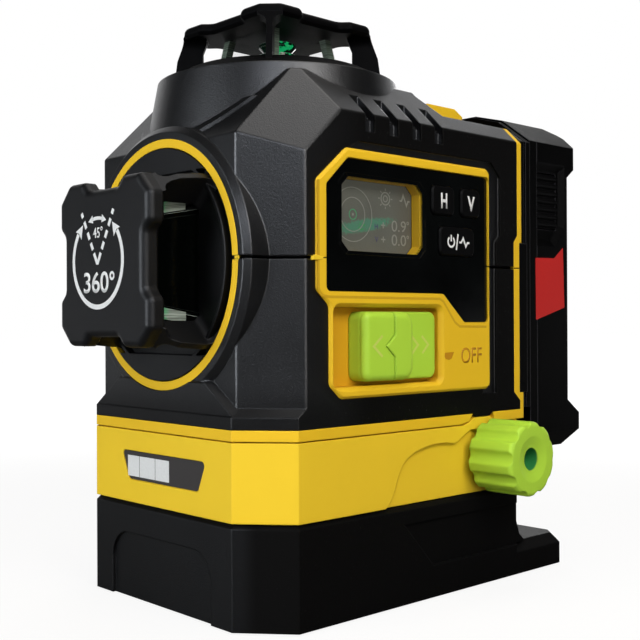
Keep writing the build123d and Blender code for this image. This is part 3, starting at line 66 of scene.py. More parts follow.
# Colours as linear red, green and blue
COAL = (0.0010, 0.0010, 0.0012)
SOOT = (0.0005, 0.0005, 0.0006)
YELLOW = (0.88, 0.60, 0.028)
# More orange copy of the band's yellow, painted shade for the shell's sides
SHADED_ORANGE_YELLOW = (0.84, 0.53, 0.020)
AMBER_SHADE = (0.60, 0.28, 0.009)
LIME = (0.44, 0.72, 0.055)
PALE_LIME_HIGHLIGHT = (0.62, 0.76, 0.14)
DARK_GREEN = (0.035, 0.27, 0.075)
RED = (0.58, 0.022, 0.020)
WHITE = (0.86, 0.88, 0.89)
SLATE = (0.045, 0.042, 0.043)
GREY_GREEN = (0.105, 0.108, 0.092)
GREY_SPECK = (0.05, 0.05, 0.052)
COOL_GLOSS = (0.88, 0.92, 1.0)


class Value:
    """A shader value that can be calculated with, like a number."""

    def __init__(self, paint, socket):
        self.paint = paint
        self.socket = socket

    def maths(self, operation, first, second):
        return self.paint.node("ShaderNodeMath", {"operation": operation}, [first, second])

    def __add__(self, other):
        return self.maths("ADD", self, other)

    __radd__ = __add__

    def __sub__(self, other):
        return self.maths("SUBTRACT", self, other)

    def __rsub__(self, other):
        return self.maths("SUBTRACT", other, self)

    def __mul__(self, other):
        return self.maths("MULTIPLY", self, other)

    __rmul__ = __mul__

    def __pow__(self, other):
        return self.maths("POWER", self, other)

    def above(self, edge):
        return self.maths("GREATER_THAN", self, edge)

    def below(self, edge):
        return self.maths("LESS_THAN", self, edge)

    def between(self, low, high):
        return self.above(low) * self.below(high)

    def most(self, other):
        return self.maths("MAXIMUM", self, other)

    def rise(self, low, high):
        """0 below low, 1 above high and a smooth step between."""
        settings = {"interpolation_type": "SMOOTHSTEP"}
        return self.paint.node("ShaderNodeMapRange", settings, [self, low, high, 0.0, 1.0])


class Paint:
    """The nodes of one procedural material, or of the world."""

    def __init__(self, name, tree=None):
        if tree is None:
            self.material = bpy.data.materials.new(name)
            self.material.use_nodes = True
            tree = self.material.node_tree
            self.shader = tree.nodes["Principled BSDF"]
        self.tree = tree

    def feed(self, socket, value):
        if isinstance(value, Value):
            self.tree.links.new(value.socket, socket)
        elif isinstance(value, tuple) and len(value) == 3 and len(socket.default_value) == 4:
            socket.default_value = (*value, 1.0)
        else:
            socket.default_value = value

    def node(self, kind, settings=None, inputs=(), output=0):
        made = self.tree.nodes.new(kind)
        for key, value in (settings or {}).items():
            setattr(made, key, value)
        pairs = inputs.items() if isinstance(inputs, dict) else enumerate(inputs)
        for key, value in pairs:
            self.feed(made.inputs[key], value)
        return Value(self, made.outputs[output])

    def place(self):
        return self.node("ShaderNodeTexCoord", output="Object")

    def axes(self):
        """The place on the object along X, Y and Z, in millimetres."""
        split = self.node("ShaderNodeSeparateXYZ", None, [self.place()])
        return [Value(self, out) * 1000.0 for out in split.socket.node.outputs]

    def noise(self, size, detail=2.0, rough=0.5):
        """Noise with features of about this size in millimetres."""
        inputs = {"Vector": self.place(), "Scale": 1.0 / (size * MM), "Detail": detail, "Roughness": rough}
        return self.node("ShaderNodeTexNoise", None, inputs)

    def blend(self, share, first, second):
        """Colour between two; sockets 6 and 7 and output 2 are the mix node's own for colours."""
        return self.node("ShaderNodeMix", {"data_type": "RGBA"}, {0: share, 6: first, 7: second}, 2)

    def set(self, **inputs):
        for key, value in inputs.items():
            self.feed(self.shader.inputs[key.replace("_", " ")], value)

    def second(self, share, **inputs):
        """Another plastic in place of the first where share is 1."""
        first = Value(self, self.shader.outputs[0])
        self.shader = self.tree.nodes.new("ShaderNodeBsdfPrincipled")
        self.set(**inputs)
        other = Value(self, self.shader.outputs[0])
        both = self.node("ShaderNodeMixShader", None, [share, first, other])
        self.feed(self.tree.nodes["Material Output"].inputs["Surface"], both)

    def bump(self, height, depth, normal):
        """Normal bent by a height that stands for this depth in millimetres."""
        inputs = {"Height": height, "Distance": depth * MM, "Normal": normal}
        return self.node("ShaderNodeBump", None, inputs)

    def soft_edges(self, radius):
        """Normal that rounds the edges by a radius in millimetres."""
        return self.node("ShaderNodeBevel", {"samples": 6}, {"Radius": radius * MM})

    def rim(self, soft):
        """Near 0 on a face and higher where the softened normal leaves it, on an edge."""
        flat = self.node("ShaderNodeNewGeometry", output="Normal")
        same = self.node("ShaderNodeVectorMath", {"operation": "DOT_PRODUCT"}, [soft, flat], "Value")
        return (1 - same).rise(0.02, 0.25)

    def seen(self, behind):
        """1 for rays from the camera or through glass, and the share behind for gloss."""
        rays = self.node("ShaderNodeLightPath").socket.node.outputs
        direct = Value(self, rays["Is Camera Ray"]).most(Value(self, rays["Is Transmission Ray"]))
        return direct.most(Value(self, rays["Is Glossy Ray"]) * behind)


def shade(colour, share):
    return tuple(min(1.0, part * share) for part in colour)


# Sizes of a plastic's uneven gloss and of its specks, in millimetres, and what a duller grain changes
CLOUD_SIZE = 16.0
SPECK_SIZE = 0.45
DULL_SHINE = 0.1
DULL_ROUGHER = 0.25


# Finishes
def moulded(name, colour, rough, grain, depth, edge=0.5, fade=0.2, shine=0.5, rub_and_highlight=1.6, specks=0.0,
            painted_shade=None, painted_shade_colour=SOOT, shaded=None, dull=None):
    """Moulded plastic with an eroded grain, uneven gloss, and paler edges, partly rubbed and partly a
    painted highlight.

    Grain and depth are the size and height of the texture and edge is the radius of softened edges,
    in millimetres. Fade is how far the colour drifts, rub_and_highlight how much paler an edge is,
    and specks how strongly fine dots show. The painted_shade, shaded and dull masks give the share of
    painted shade in its own colour, of painted amber shade and of a duller grain at each place.
    """
    paint = Paint(name)
    cloud = paint.noise(CLOUD_SIZE, 3.0)
    texture = paint.noise(grain, 3.0, 0.6)
    soft = paint.soft_edges(edge)
    rim = paint.rim(soft)
    base = paint.blend(cloud, shade(colour, 1 - fade), shade(colour, 1 + fade))
    # Paler edges: partly rubbed, partly a painted edge highlight
    base = paint.blend(rim * 0.6, base, shade(colour, rub_and_highlight))
    if specks:
        dots = paint.noise(SPECK_SIZE, 1.0).rise(0.72, 0.80)
        base = paint.blend(dots * specks, base, GREY_SPECK)
    # Painted amber shade down the lock slot's walls, where less light comes
    if shaded:
        base = paint.blend(shaded(paint), base, AMBER_SHADE)
    # Painted shade on inner walls, in gaps and in hollows, in its own colour
    if painted_shade:
        base = paint.blend(painted_shade(paint), base, painted_shade_colour)
    gloss = rough + 0.10 * (cloud - 0.5) + 0.14 * (texture - 0.5) - 0.08 * rim
    both = {"Base_Color": base, "Normal": paint.bump(texture, depth, soft)}
    paint.set(**both, Roughness=gloss, Specular_IOR_Level=shine, Specular_Tint=COOL_GLOSS)
    if dull:
        paint.second(dull(paint), **both, Roughness=gloss + DULL_ROUGHER, Specular_IOR_Level=DULL_SHINE)
    return paint.material


def metal(name, colour, rough):
    """Machined metal with fine turning marks."""
    paint = Paint(name)
    marks = paint.noise(0.6, 4.0)
    paint.set(Base_Color=paint.blend(marks, shade(colour, 0.8), colour))
    paint.set(Roughness=rough + 0.15 * (marks - 0.5), Metallic=1.0)
    return paint.material


def pane(name, colour, cover, edge_cover, shine=0.5):
    """Thin coated glass: cover is how much its face hides, and its ground edges hide more."""
    pale_edge = (0.55, 0.64, 0.58)
    paint = Paint(name)
    smear = paint.noise(7.0)
    rim = paint.rim(paint.soft_edges(0.35))
    paint.set(Base_Color=paint.blend(rim, colour, pale_edge))
    paint.set(Roughness=0.04 + 0.05 * smear, Specular_IOR_Level=shine)
    paint.set(Alpha=cover + 0.05 * (smear - 0.5) + edge_cover * rim)
    return paint.material


def prism(name, spot, glow):
    """Dark optical glass with a pale ground rim and green laser light about one spot."""
    dark_glass = (0.004, 0.008, 0.006)
    pale_edge = (0.50, 0.56, 0.52)
    unlit = (0.0, 0.003, 0.0015)
    laser_green = (0.006, 0.33, 0.10)
    paint = Paint(name)
    x, y, z = paint.axes()
    away = ((x - spot[0]) ** 2.0 + (y - spot[1]) ** 2.0 + (z - spot[2]) ** 2.0) ** 0.5
    patch = (0.9 + 4.0 * (paint.noise(1.3, 3.0) - 0.5) - 0.42 * away).rise(0.0, 0.25)
    rim = paint.rim(paint.soft_edges(0.3))
    paint.set(Base_Color=paint.blend(rim, dark_glass, pale_edge))
    paint.set(Roughness=0.06 + 0.05 * patch, Specular_IOR_Level=0.4)
    paint.set(Emission_Color=paint.blend(patch, unlit, laser_green), Emission_Strength=glow)
    return paint.material


def ground_glass(name, dark, pale):
    """Sawn edge of a glass pane, streaked along its length and green where the beam lights it."""
    laser_green = (0.03, 0.42, 0.15)
    paint = Paint(name)
    x, y, z = paint.axes()
    stretched = paint.node("ShaderNodeCombineXYZ", None, [x * 0.02, y * 0.12, z * 3.4])
    streak = paint.node("ShaderNodeTexNoise", None, {"Vector": stretched, "Scale": 1.0, "Detail": 3.0})
    base = paint.blend(streak.rise(0.3, 0.7), dark, pale)
    lit = (0 - y).rise(40.6, 43.4) * paint.noise(1.2).rise(0.35, 0.55)
    base = paint.blend(lit * 0.85, base, laser_green)
    paint.set(Base_Color=base, Roughness=0.45 + 0.2 * (streak - 0.5), Specular_IOR_Level=0.3)
    return paint.material


def ink(name, colour, rough=0.5, glow=0.0):
    """Printed ink with a little wear in its cover; also used for flat marks of painted shade and painted
    highlight.
    """
    paint = Paint(name)
    wear = paint.noise(0.6, 3.0)
    cover = paint.blend(wear, shade(colour, 0.84), colour)
    paint.set(Base_Color=cover, Roughness=rough + 0.1 * (wear - 0.5), Specular_IOR_Level=0.3)
    if glow:
        paint.set(Emission_Color=cover, Emission_Strength=glow)
    return paint.material


def display(name):
    """Grey-green display with a fine pixel mesh, a painted green smear of light with bright specks, and a
    darker right side.
    """
    brown_side = (0.075, 0.062, 0.045)
    smear_green = (0.05, 0.25, 0.15)
    painted_glint_green = (0.012, 0.30, 0.04)
    mesh_grey = (0.12, 0.125, 0.11)
    paint = Paint(name)
    _, y, z = paint.axes()
    mesh = paint.noise(0.3, 1.0)
    cloud = paint.noise(9.0)
    base = paint.blend(cloud, shade(GREY_GREEN, 0.86), shade(GREY_GREEN, 1.12))
    base = paint.blend(y.rise(4.0, 15.0) * 0.55, base, brown_side)
    along = (y + 4.0) * 0.09
    aside = (z - 88.95 - 0.17 * y) * 0.6
    smear = 1 - (along ** 2.0 + aside ** 2.0) + 1.6 * (paint.noise(0.5) - 0.5)
    base = paint.blend(smear.rise(0.0, 0.7) * (0.45 + 0.5 * cloud), base, smear_green)
    spot = (1 - ((y + 4.2) ** 2.0 + (z - 88.0) ** 2.0) * 0.4).rise(0.0, 1.0)
    base = paint.blend(spot * paint.noise(0.45, 1.0).rise(0.52, 0.6), base, painted_glint_green)
    base = paint.blend(mesh * 0.22, base, mesh_grey)
    paint.set(Base_Color=base, Roughness=0.35 + 0.1 * mesh, Specular_IOR_Level=0.2)
    paint.set(Emission_Color=base, Emission_Strength=0.4)
    return paint.material


def housing_shade(paint):
    """1 where the shell gets painted shade: on its inner walls, apart from the lock's slot, in the top beam
    hole and in the parting.
    """
    beam_radius_squared = 150.0
    parting = 80.1
    half_gap_squared = 0.22
    x, y, z = paint.axes()
    room = x.between(-34.4, 34.4) * y.between(-33.3, 45.0) * z.between(43.5, 112.0)
    room = room * (1 - x.above(32.8) * z.below(72.0))
    beam = (x * x + y * y).below(beam_radius_squared) * z.between(100.0, 122.6)
    gap = ((z - parting) * (z - parting)).below(half_gap_squared) * x.below(36.9)
    return room.most(beam).most(gap)


def lock_slot(paint):
    """Rises down the walls of the lock's slot, where less light comes."""
    mouth = 38.6
    x, y, z = paint.axes()
    slot = y.between(-18.0, 19.6) * z.between(46.0, 71.0)
    return slot * (mouth - x).rise(0.1, 1.6) * 0.75


def dull_sides(paint):
    """Towards 1 on the body's flat sides, back from the front chamfer, and partly on its skirt."""
    skirt_top = 54.0
    x, y, z = paint.axes()
    sides = (x * x).rise(37.3 ** 2, 37.8 ** 2) * y.rise(-26.0, -4.0)
    return sides.most((skirt_top - z).rise(0.0, 9.0) * 0.55)


def dull_flanks(paint):
    """1 on the foot, apart from its front."""
    return paint.axes()[1].rise(-36.0, -33.0)


def knob_hole_shade(paint):
    """1 in the knob's middle hole, deeper than its dish, which is painted dark green as shade."""
    dish = 51.3
    radius_squared = 8.4
    x, y, z = paint.axes()
    hole = ((y - KNOB_Y) ** 2.0 + (z - KNOB_Z) ** 2.0).below(radius_squared)
    return (dish - x).rise(0.0, 0.5) * hole


YELLOW_LOOK = {"rough": 0.5, "grain": 0.45, "depth": 0.012, "edge": 0.4, "fade": 0.05, "shine": 0.22,
               "rub_and_highlight": 1.08}
LIME_LOOK = {"rough": 0.45, "grain": 0.4, "depth": 0.012, "fade": 0.06, "shine": 0.3}
SEGMENT_LOOK = {"rough": 0.4, "glow": 0.2}

BLACK_SKIN = moulded("black skin", COAL, rough=0.34, grain=0.36, depth=0.06, edge=0.45, shine=0.85,
                     rub_and_highlight=3.5, specks=0.6, dull=dull_sides)
FOOT_BLACK = moulded("foot black", COAL, rough=0.42, grain=0.34, depth=0.04, shine=0.42,
                     rub_and_highlight=5.0, specks=0.15, dull=dull_flanks)
GUARD_BLACK = moulded("guard black", COAL, rough=0.46, grain=0.34, depth=0.03, edge=0.4,
                      shine=0.42, rub_and_highlight=8.0)
TOP_GUARD_BLACK = moulded("top guard black", COAL, rough=0.6, grain=0.34, depth=0.03, edge=0.4,
                          shine=0.05, rub_and_highlight=14.0)
PACK_BLACK = moulded("pack black", SOOT, rough=0.45, grain=0.34, depth=0.03, shine=0.07, rub_and_highlight=130.0)
YELLOW_PLASTIC = moulded("yellow plastic", YELLOW, **YELLOW_LOOK)
# The shell's plastic is the band's, made more orange as painted shade
SHADED_SHELL_YELLOW = moulded("shell yellow, painted shade", SHADED_ORANGE_YELLOW, **YELLOW_LOOK, painted_shade=housing_shade,
                       shaded=lock_slot)
SLIDER_LIME = moulded("slider lime", LIME, **LIME_LOOK, edge=0.9, rub_and_highlight=1.06)
KNOB_LIME = moulded("knob lime", LIME, **LIME_LOOK, rub_and_highlight=1.12, painted_shade=knob_hole_shade, painted_shade_colour=DARK_GREEN)
RUBBER = moulded("key rubber", COAL, rough=0.5, grain=0.3, depth=0.02, edge=0.35, fade=0.15,
                 shine=0.10, rub_and_highlight=6.0)
GLOSS = moulded("gloss black", (0.0016, 0.0020, 0.0021), rough=0.14, grain=3.0, depth=0.001, edge=0.2,
                fade=0.95, shine=0.25)
NYLON = moulded("nylon", (0.62, 0.60, 0.55), rough=0.45, grain=0.5, depth=0.01)
BOARD = moulded("circuit board", (0.01, 0.10, 0.04), rough=0.35, grain=1.2, depth=0.01)
CELL_SLEEVE = moulded("cell sleeve", (0.03, 0.12, 0.34), rough=0.3, grain=2.0, depth=0.005)
STEEL = metal("steel", (0.55, 0.56, 0.58), rough=0.3)
BRASS = metal("brass", (0.72, 0.50, 0.20), rough=0.32)
ANODISED = metal("black anodised aluminium", (0.022, 0.023, 0.025), rough=0.42)
TOP_GLASS = pane("top window glass", (0.01, 0.016, 0.013), cover=0.05, edge_cover=0.15, shine=0.1)
# Same glass as the top window, painted near black: painted shade for the dark inside behind it
DARKENED_FRONT_GLASS = pane("front window glass, darkened", (0.0008, 0.0012, 0.001), cover=0.8, edge_cover=0.1, shine=0.05)
TOP_PRISM = prism("top prism glass", spot=(3.2, -1.4, 135.0), glow=1.0)
FRONT_PRISM = prism("front prism glass", spot=(1.0, -42.5, 84.0), glow=0.1)
GROUND_GLASS = ground_glass("ground glass edge", dark=(0.10, 0.125, 0.105), pale=(0.36, 0.42, 0.37))
BONDED_GLASS = ground_glass("bonded glass corner", dark=(0.05, 0.07, 0.055), pale=(0.16, 0.21, 0.17))
LENS = pane("display lens", (0.02, 0.022, 0.02), cover=0.1, edge_cover=0.1)
SCREEN = display("display")
WHITE_INK = ink("white ink", WHITE)
SCREEN_INK = ink("display segments", (0.27, 0.275, 0.245), **SEGMENT_LOOK)
SCREEN_GREEN = ink("display green", (0.07, 0.36, 0.16), **SEGMENT_LOOK)
SCREEN_BLUE = ink("display blue", (0.075, 0.075, 0.16), **SEGMENT_LOOK)
SUNK_SHADE_INK = ink("painted sunk shade", AMBER_SHADE)
LIME_HIGHLIGHT_INK = ink("painted lime highlight", PALE_LIME_HIGHLIGHT)
GROOVE_SHADE_INK = ink("painted bezel groove shade", (0.68, 0.40, 0.014))
RED_FILM = ink("red film", RED, rough=0.42)
SLATE_FILM = ink("slate film", SLATE, rough=0.45)
PALE_FILM = ink("pale film", (0.80, 0.82, 0.83))

FINISHES = {
    FOOT_BLACK: "foot_base bottom_plate",
    BLACK_SKIN: "lower_overmould upper_overmould",
    GUARD_BLACK: "front_guard",
    TOP_GUARD_BLACK: "top_guard",
    PACK_BLACK: "battery_dock battery_tray battery_case lock_pad",
    YELLOW_PLASTIC: "turntable_housing",
    SHADED_SHELL_YELLOW: "lower_shell upper_shell",
    SLIDER_LIME: "lock_slider",
    KNOB_LIME: "knob",
    RUBBER: "rubber_feet shaft_seal key_mat h_button v_button power_button right_grip left_grip",
    GLOSS: "display_panel",
    NYLON: "thrust_washer friction_washer",
    BOARD: "control_board",
    CELL_SLEEVE: "battery_cells",
    STEEL: "bottom_screws spindle flange_screws clutch_spring clutch_nut worm_shaft band_screws "
           "housing_screws chassis_screws side_pins cross_pins trim_screws dock_screws cell_straps",
    BRASS: "tripod_insert worm_wheel worm_bushes pivot_bush pendulum_bob dock_contacts",
    ANODISED: "chassis gimbal_ring pendulum_frame top_laser front_laser",
    DARKENED_FRONT_GLASS: "front_window",
    TOP_GLASS: "top_window",
    TOP_PRISM: "top_cone",
    FRONT_PRISM: "front_cone",
    LENS: "display_window",
    SCREEN: "display_module",
}
for finish, names in FINISHES.items():
    for name in names.split():
        nodes[name].data.materials.clear()
        nodes[name].data.materials.append(finish)


# Pieces
IN_PLACE = Matrix.Identity(4)


def add_piece(name, bm, body, finish, place=IN_PLACE, crease=None):
    """Add a form drawn in millimetres to a body, smooth up to a crease angle if one is given."""
    mesh = bpy.data.meshes.new(name)
    bm.to_mesh(mesh)
    bm.free()
    mesh.transform(Matrix.Scale(MM, 4) @ place)
    if crease:
        mesh.shade_smooth()
        mesh.set_sharp_from_angle(angle=math.radians(crease))
    mesh.materials.append(finish)
    piece = bpy.data.objects.new(name, mesh)
    bpy.context.scene.collection.objects.link(piece)
    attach(piece, body)


def round_off(bm, parts, kind, radius, segments):
    """Round edges or corners by a radius in millimetres."""
    bmesh.ops.bevel(bm, geom=parts, offset=radius, offset_type="OFFSET", segments=segments, profile=0.5,
                    affect=kind, material=-1)


# How a flat drawing is turned to face outwards: across, up and out of the face
FACING = {
    "front": ((1, 0, 0), (0, 0, 1), (0, -1, 0)),
    "right": ((0, 1, 0), (0, 0, 1), (1, 0, 0)),
}


class Marks:
    """Flat marks drawn in millimetres and laid on a face as thin ink or a plate."""

    def __init__(self):
        self.bm = bmesh.new()

    def sheet(self, *corners, soft=0.0):
        """Flat sheet with these corners, rounded by a radius."""
        verts = [self.bm.verts.new((u, v, 0)) for u, v in corners]
        self.bm.faces.new(verts)
        if soft:
            round_off(self.bm, verts, "VERTICES", soft, 5)

    def line(self, width, *points):
        """Stroke from point to point with mitred joints."""
        places = [Vector(point) for point in points]
        across = []
        for start, end in zip(places, places[1:]):
            across.append(Vector((start.y - end.y, end.x - start.x)).normalized())
        rails = []
        for at, place in enumerate(places):
            before = across[max(at - 1, 0)]
            after = across[min(at, len(across) - 1)]
            side = (before + after).normalized()
            reach = side * (width / 2 / side.dot(after))
            rails.append([self.bm.verts.new((*spot, 0)) for spot in (place + reach, place - reach)])
        for (left, right), (next_left, next_right) in zip(rails, rails[1:]):
            self.bm.faces.new((left, right, next_right, next_left))

    def arc(self, centre, radius, width, first=0.0, last=360.0):
        """Ring, or part of one between two angles in degrees."""
        middle = Vector((*centre, 0))
        out = Vector((math.cos(math.radians(first)), math.sin(math.radians(first)), 0))
        ends = [self.bm.verts.new(middle + out * (radius + share * width / 2)) for share in (-1, 1)]
        line = self.bm.edges.new(ends)
        turn = last - first
        bmesh.ops.spin(self.bm, geom=[*ends, line], cent=middle, axis=(0, 0, 1), angle=math.radians(turn),
                       steps=max(4, round(abs(turn) / 6)), use_merge=abs(turn) >= 360)

    def disc(self, centre, radius):
        place = Matrix.Translation((*centre, 0))
        bmesh.ops.create_circle(self.bm, cap_ends=True, radius=radius, segments=24, matrix=place)

    def words(self, text, low, high, bold=0.0):
        """Letters that fill the box from its low to its high corner."""
        curve = bpy.data.curves.new("letters", "FONT")
        curve.body = text
        curve.offset = bold
        holder = bpy.data.objects.new("letters", curve)
        letters = bpy.data.meshes.new_from_object(holder)
        spots = [vert.co for vert in letters.vertices]
        least = Vector([min(spot[i] for spot in spots) for i in range(2)])
        most = Vector([max(spot[i] for spot in spots) for i in range(2)])
        size = [(high[i] - low[i]) / (most[i] - least[i]) for i in range(2)]
        move = Matrix.Translation((low[0] - least.x * size[0], low[1] - least.y * size[1], 0))
        letters.transform(move @ Matrix.Diagonal((*size, 1, 1)))
        self.bm.from_mesh(letters)
        bpy.data.objects.remove(holder)
        bpy.data.curves.remove(curve)
        bpy.data.meshes.remove(letters)

    def lay(self, name, facing, level, body, finish, thick=INK, soft_rim=0.0):
        """Give the drawing its thickness and lay it on a face at that level."""
        self.bm.normal_update()
        for face in self.bm.faces:
            if face.normal.z < 0:
                face.normal_flip()
        bmesh.ops.solidify(self.bm, geom=self.bm.faces[:], thickness=thick + SUNK)
        middle = sum(vert.co.z for vert in self.bm.verts) / len(self.bm.verts)
        for vert in self.bm.verts:
            vert.co.z = thick if vert.co.z > middle else -SUNK
        bmesh.ops.recalc_face_normals(self.bm, faces=self.bm.faces)
        if soft_rim:
            rim = [edge for edge in self.bm.edges if edge.is_manifold and edge.calc_face_angle() > 1.0
                   and all(vert.co.z > 0 for vert in edge.verts)]
            round_off(self.bm, rim, "EDGES", soft_rim, 2)
        across, up, out = (Vector(axis) for axis in FACING[facing])
        turn = Matrix((across, up, out)).transposed().to_4x4()
        shift = Matrix.Translation([level * abs(part) for part in out])
        add_piece(name, self.bm, body, finish, shift @ turn)


def spoke(centre, radius, angle):
    """Point at a distance and an angle in degrees from a centre."""
    turn = math.radians(angle)
    return (centre[0] + radius * math.cos(turn), centre[1] + radius * math.sin(turn))


def guard_dial():
    """Open circle with arrowheads, a dashed angle with its small arc, and both readings."""
    middle = (-1.6, 80.1)
    apex = (-1.6, 79.3)
    half_angle = 29.5
    radius = 10.3
    tip_radius = 10.35
    inner_barb = 8.5
    outer_barb = 11.65
    dash_width = 0.95
    marks = Marks()
    marks.arc(middle, radius, 1.1, 142.0, 398.0)
    for tip, root, notch in ((126.4, 143.4, 140.5), (53.6, 36.6, 39.5)):
        point = spoke(middle, tip_radius, tip)
        heel = spoke(middle, radius, notch)
        marks.sheet(point, spoke(middle, outer_barb, root), heel)
        marks.sheet(point, heel, spoke(middle, inner_barb, root))
    for side in (90 - half_angle, 90 + half_angle):
        for near, far in ((3.8, 5.6), (6.6, 8.4), (9.5, 11.3), (12.4, 13.6)):
            marks.line(dash_width, spoke(apex, near, side), spoke(apex, far, side))
    foot = ((-0.45, -0.05), (0.45, -0.05), (1.84, 2.29), (1.02, 2.76),
            (0.0, 0.97), (-1.02, 2.76), (-1.84, 2.29))
    marks.sheet(*[(apex[0] + across, apex[1] + up) for across, up in foot])
    marks.arc(apex, radius, 0.75, 78.5, 101.5)
    for tip, root in ((68.6, 79.5), (111.4, 100.5)):
        marks.sheet(spoke(apex, tip_radius, tip), spoke(apex, 9.4, root), spoke(apex, 11.2, root))
    marks.words("45°", (-3.4, 85.2), (0.6, 87.65), bold=0.012)
    marks.words("360", (-7.45, 72.95), (3.0, 77.65), bold=0.014)
    marks.arc((4.45, 76.6), 0.72, 0.55)
    marks.lay("guard_dial", "front", GUARD_FACE, "turntable", WHITE_INK)


def screen_readings():
    """Level circles, lamp and pulse signs and two angle readings on the display."""
    middle = (-7.1, 90.65)
    sun = (3.6, 95.0)
    marks = Marks()
    for radius in (3.85, 6.15):
        marks.arc(middle, radius, 0.2)
    marks.disc(middle, 0.3)
    marks.arc(sun, 1.45, 0.3)
    marks.arc(sun, 0.7, 0.25)
    for angle in range(0, 360, 45):
        marks.line(0.25, spoke(sun, 1.85, angle), spoke(sun, 2.4, angle))
    marks.line(0.38, (8.5, 94.9), (9.2, 94.9), (9.75, 96.3), (10.9, 93.8), (11.4, 94.9), (12.0, 94.9))
    for level in (88.75, 85.45):
        marks.line(0.3, (2.15, level), (3.55, level))
        marks.line(0.3, (2.85, level - 0.7), (2.85, level - 0.15))
        marks.line(0.3, (2.85, level + 0.15), (2.85, level + 0.7))
        marks.arc((11.3, level + 0.95), 0.3, 0.2)
    marks.words("0.9", (5.7, 87.5), (10.7, 90.1))
    marks.words("0.0", (5.7, 84.2), (10.7, 86.8))
    marks.lay("screen_readings", "right", SCREEN_FACE, "turntable", SCREEN_INK, SEGMENT)
    marks = Marks()
    marks.arc(middle, 1.15, 0.22)
    marks.lay("screen_bullseye", "right", SCREEN_FACE, "turntable", SCREEN_GREEN, SEGMENT)
    marks = Marks()
    marks.words("H", (0.0, 87.75), (1.1, 88.95), bold=0.02)
    marks.words("V", (0.0, 84.75), (1.2, 85.95), bold=0.02)
    marks.lay("screen_letters", "right", SCREEN_FACE, "turntable", SCREEN_BLUE, SEGMENT)


def lens_border():
    """Black print round the edge of the display's lens."""
    low = (-15.15, 81.15)
    high = (13.35, 99.25)
    cut = 2.0
    width = 0.85
    rings = []
    for inset in (0.0, width):
        left = low[0] + inset
        right = high[0] - inset
        foot = low[1] + inset
        head = high[1] - inset
        rings.append([(left + cut, foot), (right - cut, foot), (right, foot + cut), (right, head - cut),
                      (right - cut, head), (left + cut, head), (left, head - cut), (left, foot + cut)])
    outer, inner = rings
    marks = Marks()
    for at in range(len(outer)):
        marks.sheet(outer[at - 1], outer[at], inner[at], inner[at - 1])
    marks.lay("lens_border", "right", LENS_FACE, "turntable", GLOSS)


def key_signs():
    """H, V, power and pulse signs on the three keys."""
    marks = Marks()
    marks.words("H", (18.45, 93.5), (20.75, 97.25), bold=0.03)
    marks.lay("h_sign", "right", KEY_FACE, "h_button", WHITE_INK)
    marks = Marks()
    marks.words("V", (28.45, 93.5), (31.3, 97.2), bold=0.03)
    marks.lay("v_sign", "right", KEY_FACE, "v_button", WHITE_INK)
    marks = Marks()
    marks.arc((22.15, 85.6), 1.2, 0.5, 125.0, 415.0)
    marks.line(0.5, (22.15, 87.3), (22.15, 85.7))
    marks.line(0.5, (24.75, 87.6), (24.05, 83.7))
    marks.line(0.48, (25.2, 85.6), (25.95, 85.6), (26.7, 86.7), (27.7, 84.65), (28.3, 85.6), (29.1, 85.6))
    marks.lay("power_signs", "right", KEY_FACE, "power_button", WHITE_INK)


def lock_signs():
    """OFF and its pointer beside the lock in darker amber, painted shade of sunk letters and a sunk notch,
    and the lock's chevrons in pale lime, a painted highlight of raised strokes.
    """
    marks = Marks()
    marks.words("OFF", (25.6, 56.0), (33.6, 59.85), bold=0.008)
    marks.sheet((19.5, 58.75), (19.35, 57.9), (19.8, 57.2), (21.0, 56.95), (22.0, 57.3), (22.9, 58.85))
    marks.lay("off_sign", "right", BEZEL_FACE, "turntable", SUNK_SHADE_INK)
    marks = Marks()
    # Pale lime strokes: painted highlight on raised chevrons
    marks.line(0.6, (-3.3, 63.1), (-6.1, 60.75), (-3.3, 58.4))
    marks.lay("lock_chevron_left", "right", PAD_FACE, "lock_slider", LIME_HIGHLIGHT_INK)
    marks = Marks()
    # Pale lime strokes: painted highlight on raised chevrons
    for tip in (11.5, 15.1):
        marks.line(0.6, (tip - 2.3, 62.85), (tip, 60.8), (tip - 2.1, 58.75))
    marks.lay("lock_chevrons_right", "right", SLIDER_LOW_FACE, "lock_slider", LIME_HIGHLIGHT_INK)


def bezel_trim():
    """Darker amber line of painted shade for a soft groove outside the bezel's inner rim, and the yellow
    tab that bridges the parting.
    """
    marks = Marks()
    marks.line(0.6, (-21.85, 96.8), (-21.9, 73.6), (-21.6, 72.7), (-20.85, 71.95), (-18.6, 71.7),
               (17.7, 71.7), (19.05, 71.05), (23.3, 66.1), (25.2, 65.05), (35.6, 64.9))
    marks.lay("bezel_groove_shade", "right", BEZEL_FACE, "turntable", GROOVE_SHADE_INK, SHADE_LINE)
    marks = Marks()
    marks.sheet((-23.5, 80.3), (-22.8, 80.65), (-21.75, 80.6), (-21.45, 80.35), (-20.5, 80.35),
                (-20.5, 79.6), (-23.6, 79.5))
    marks.lay("bezel_tab", "right", LENS_FACE, "turntable", YELLOW_PLASTIC, BEZEL_TAB,
              SOFT_RIM)


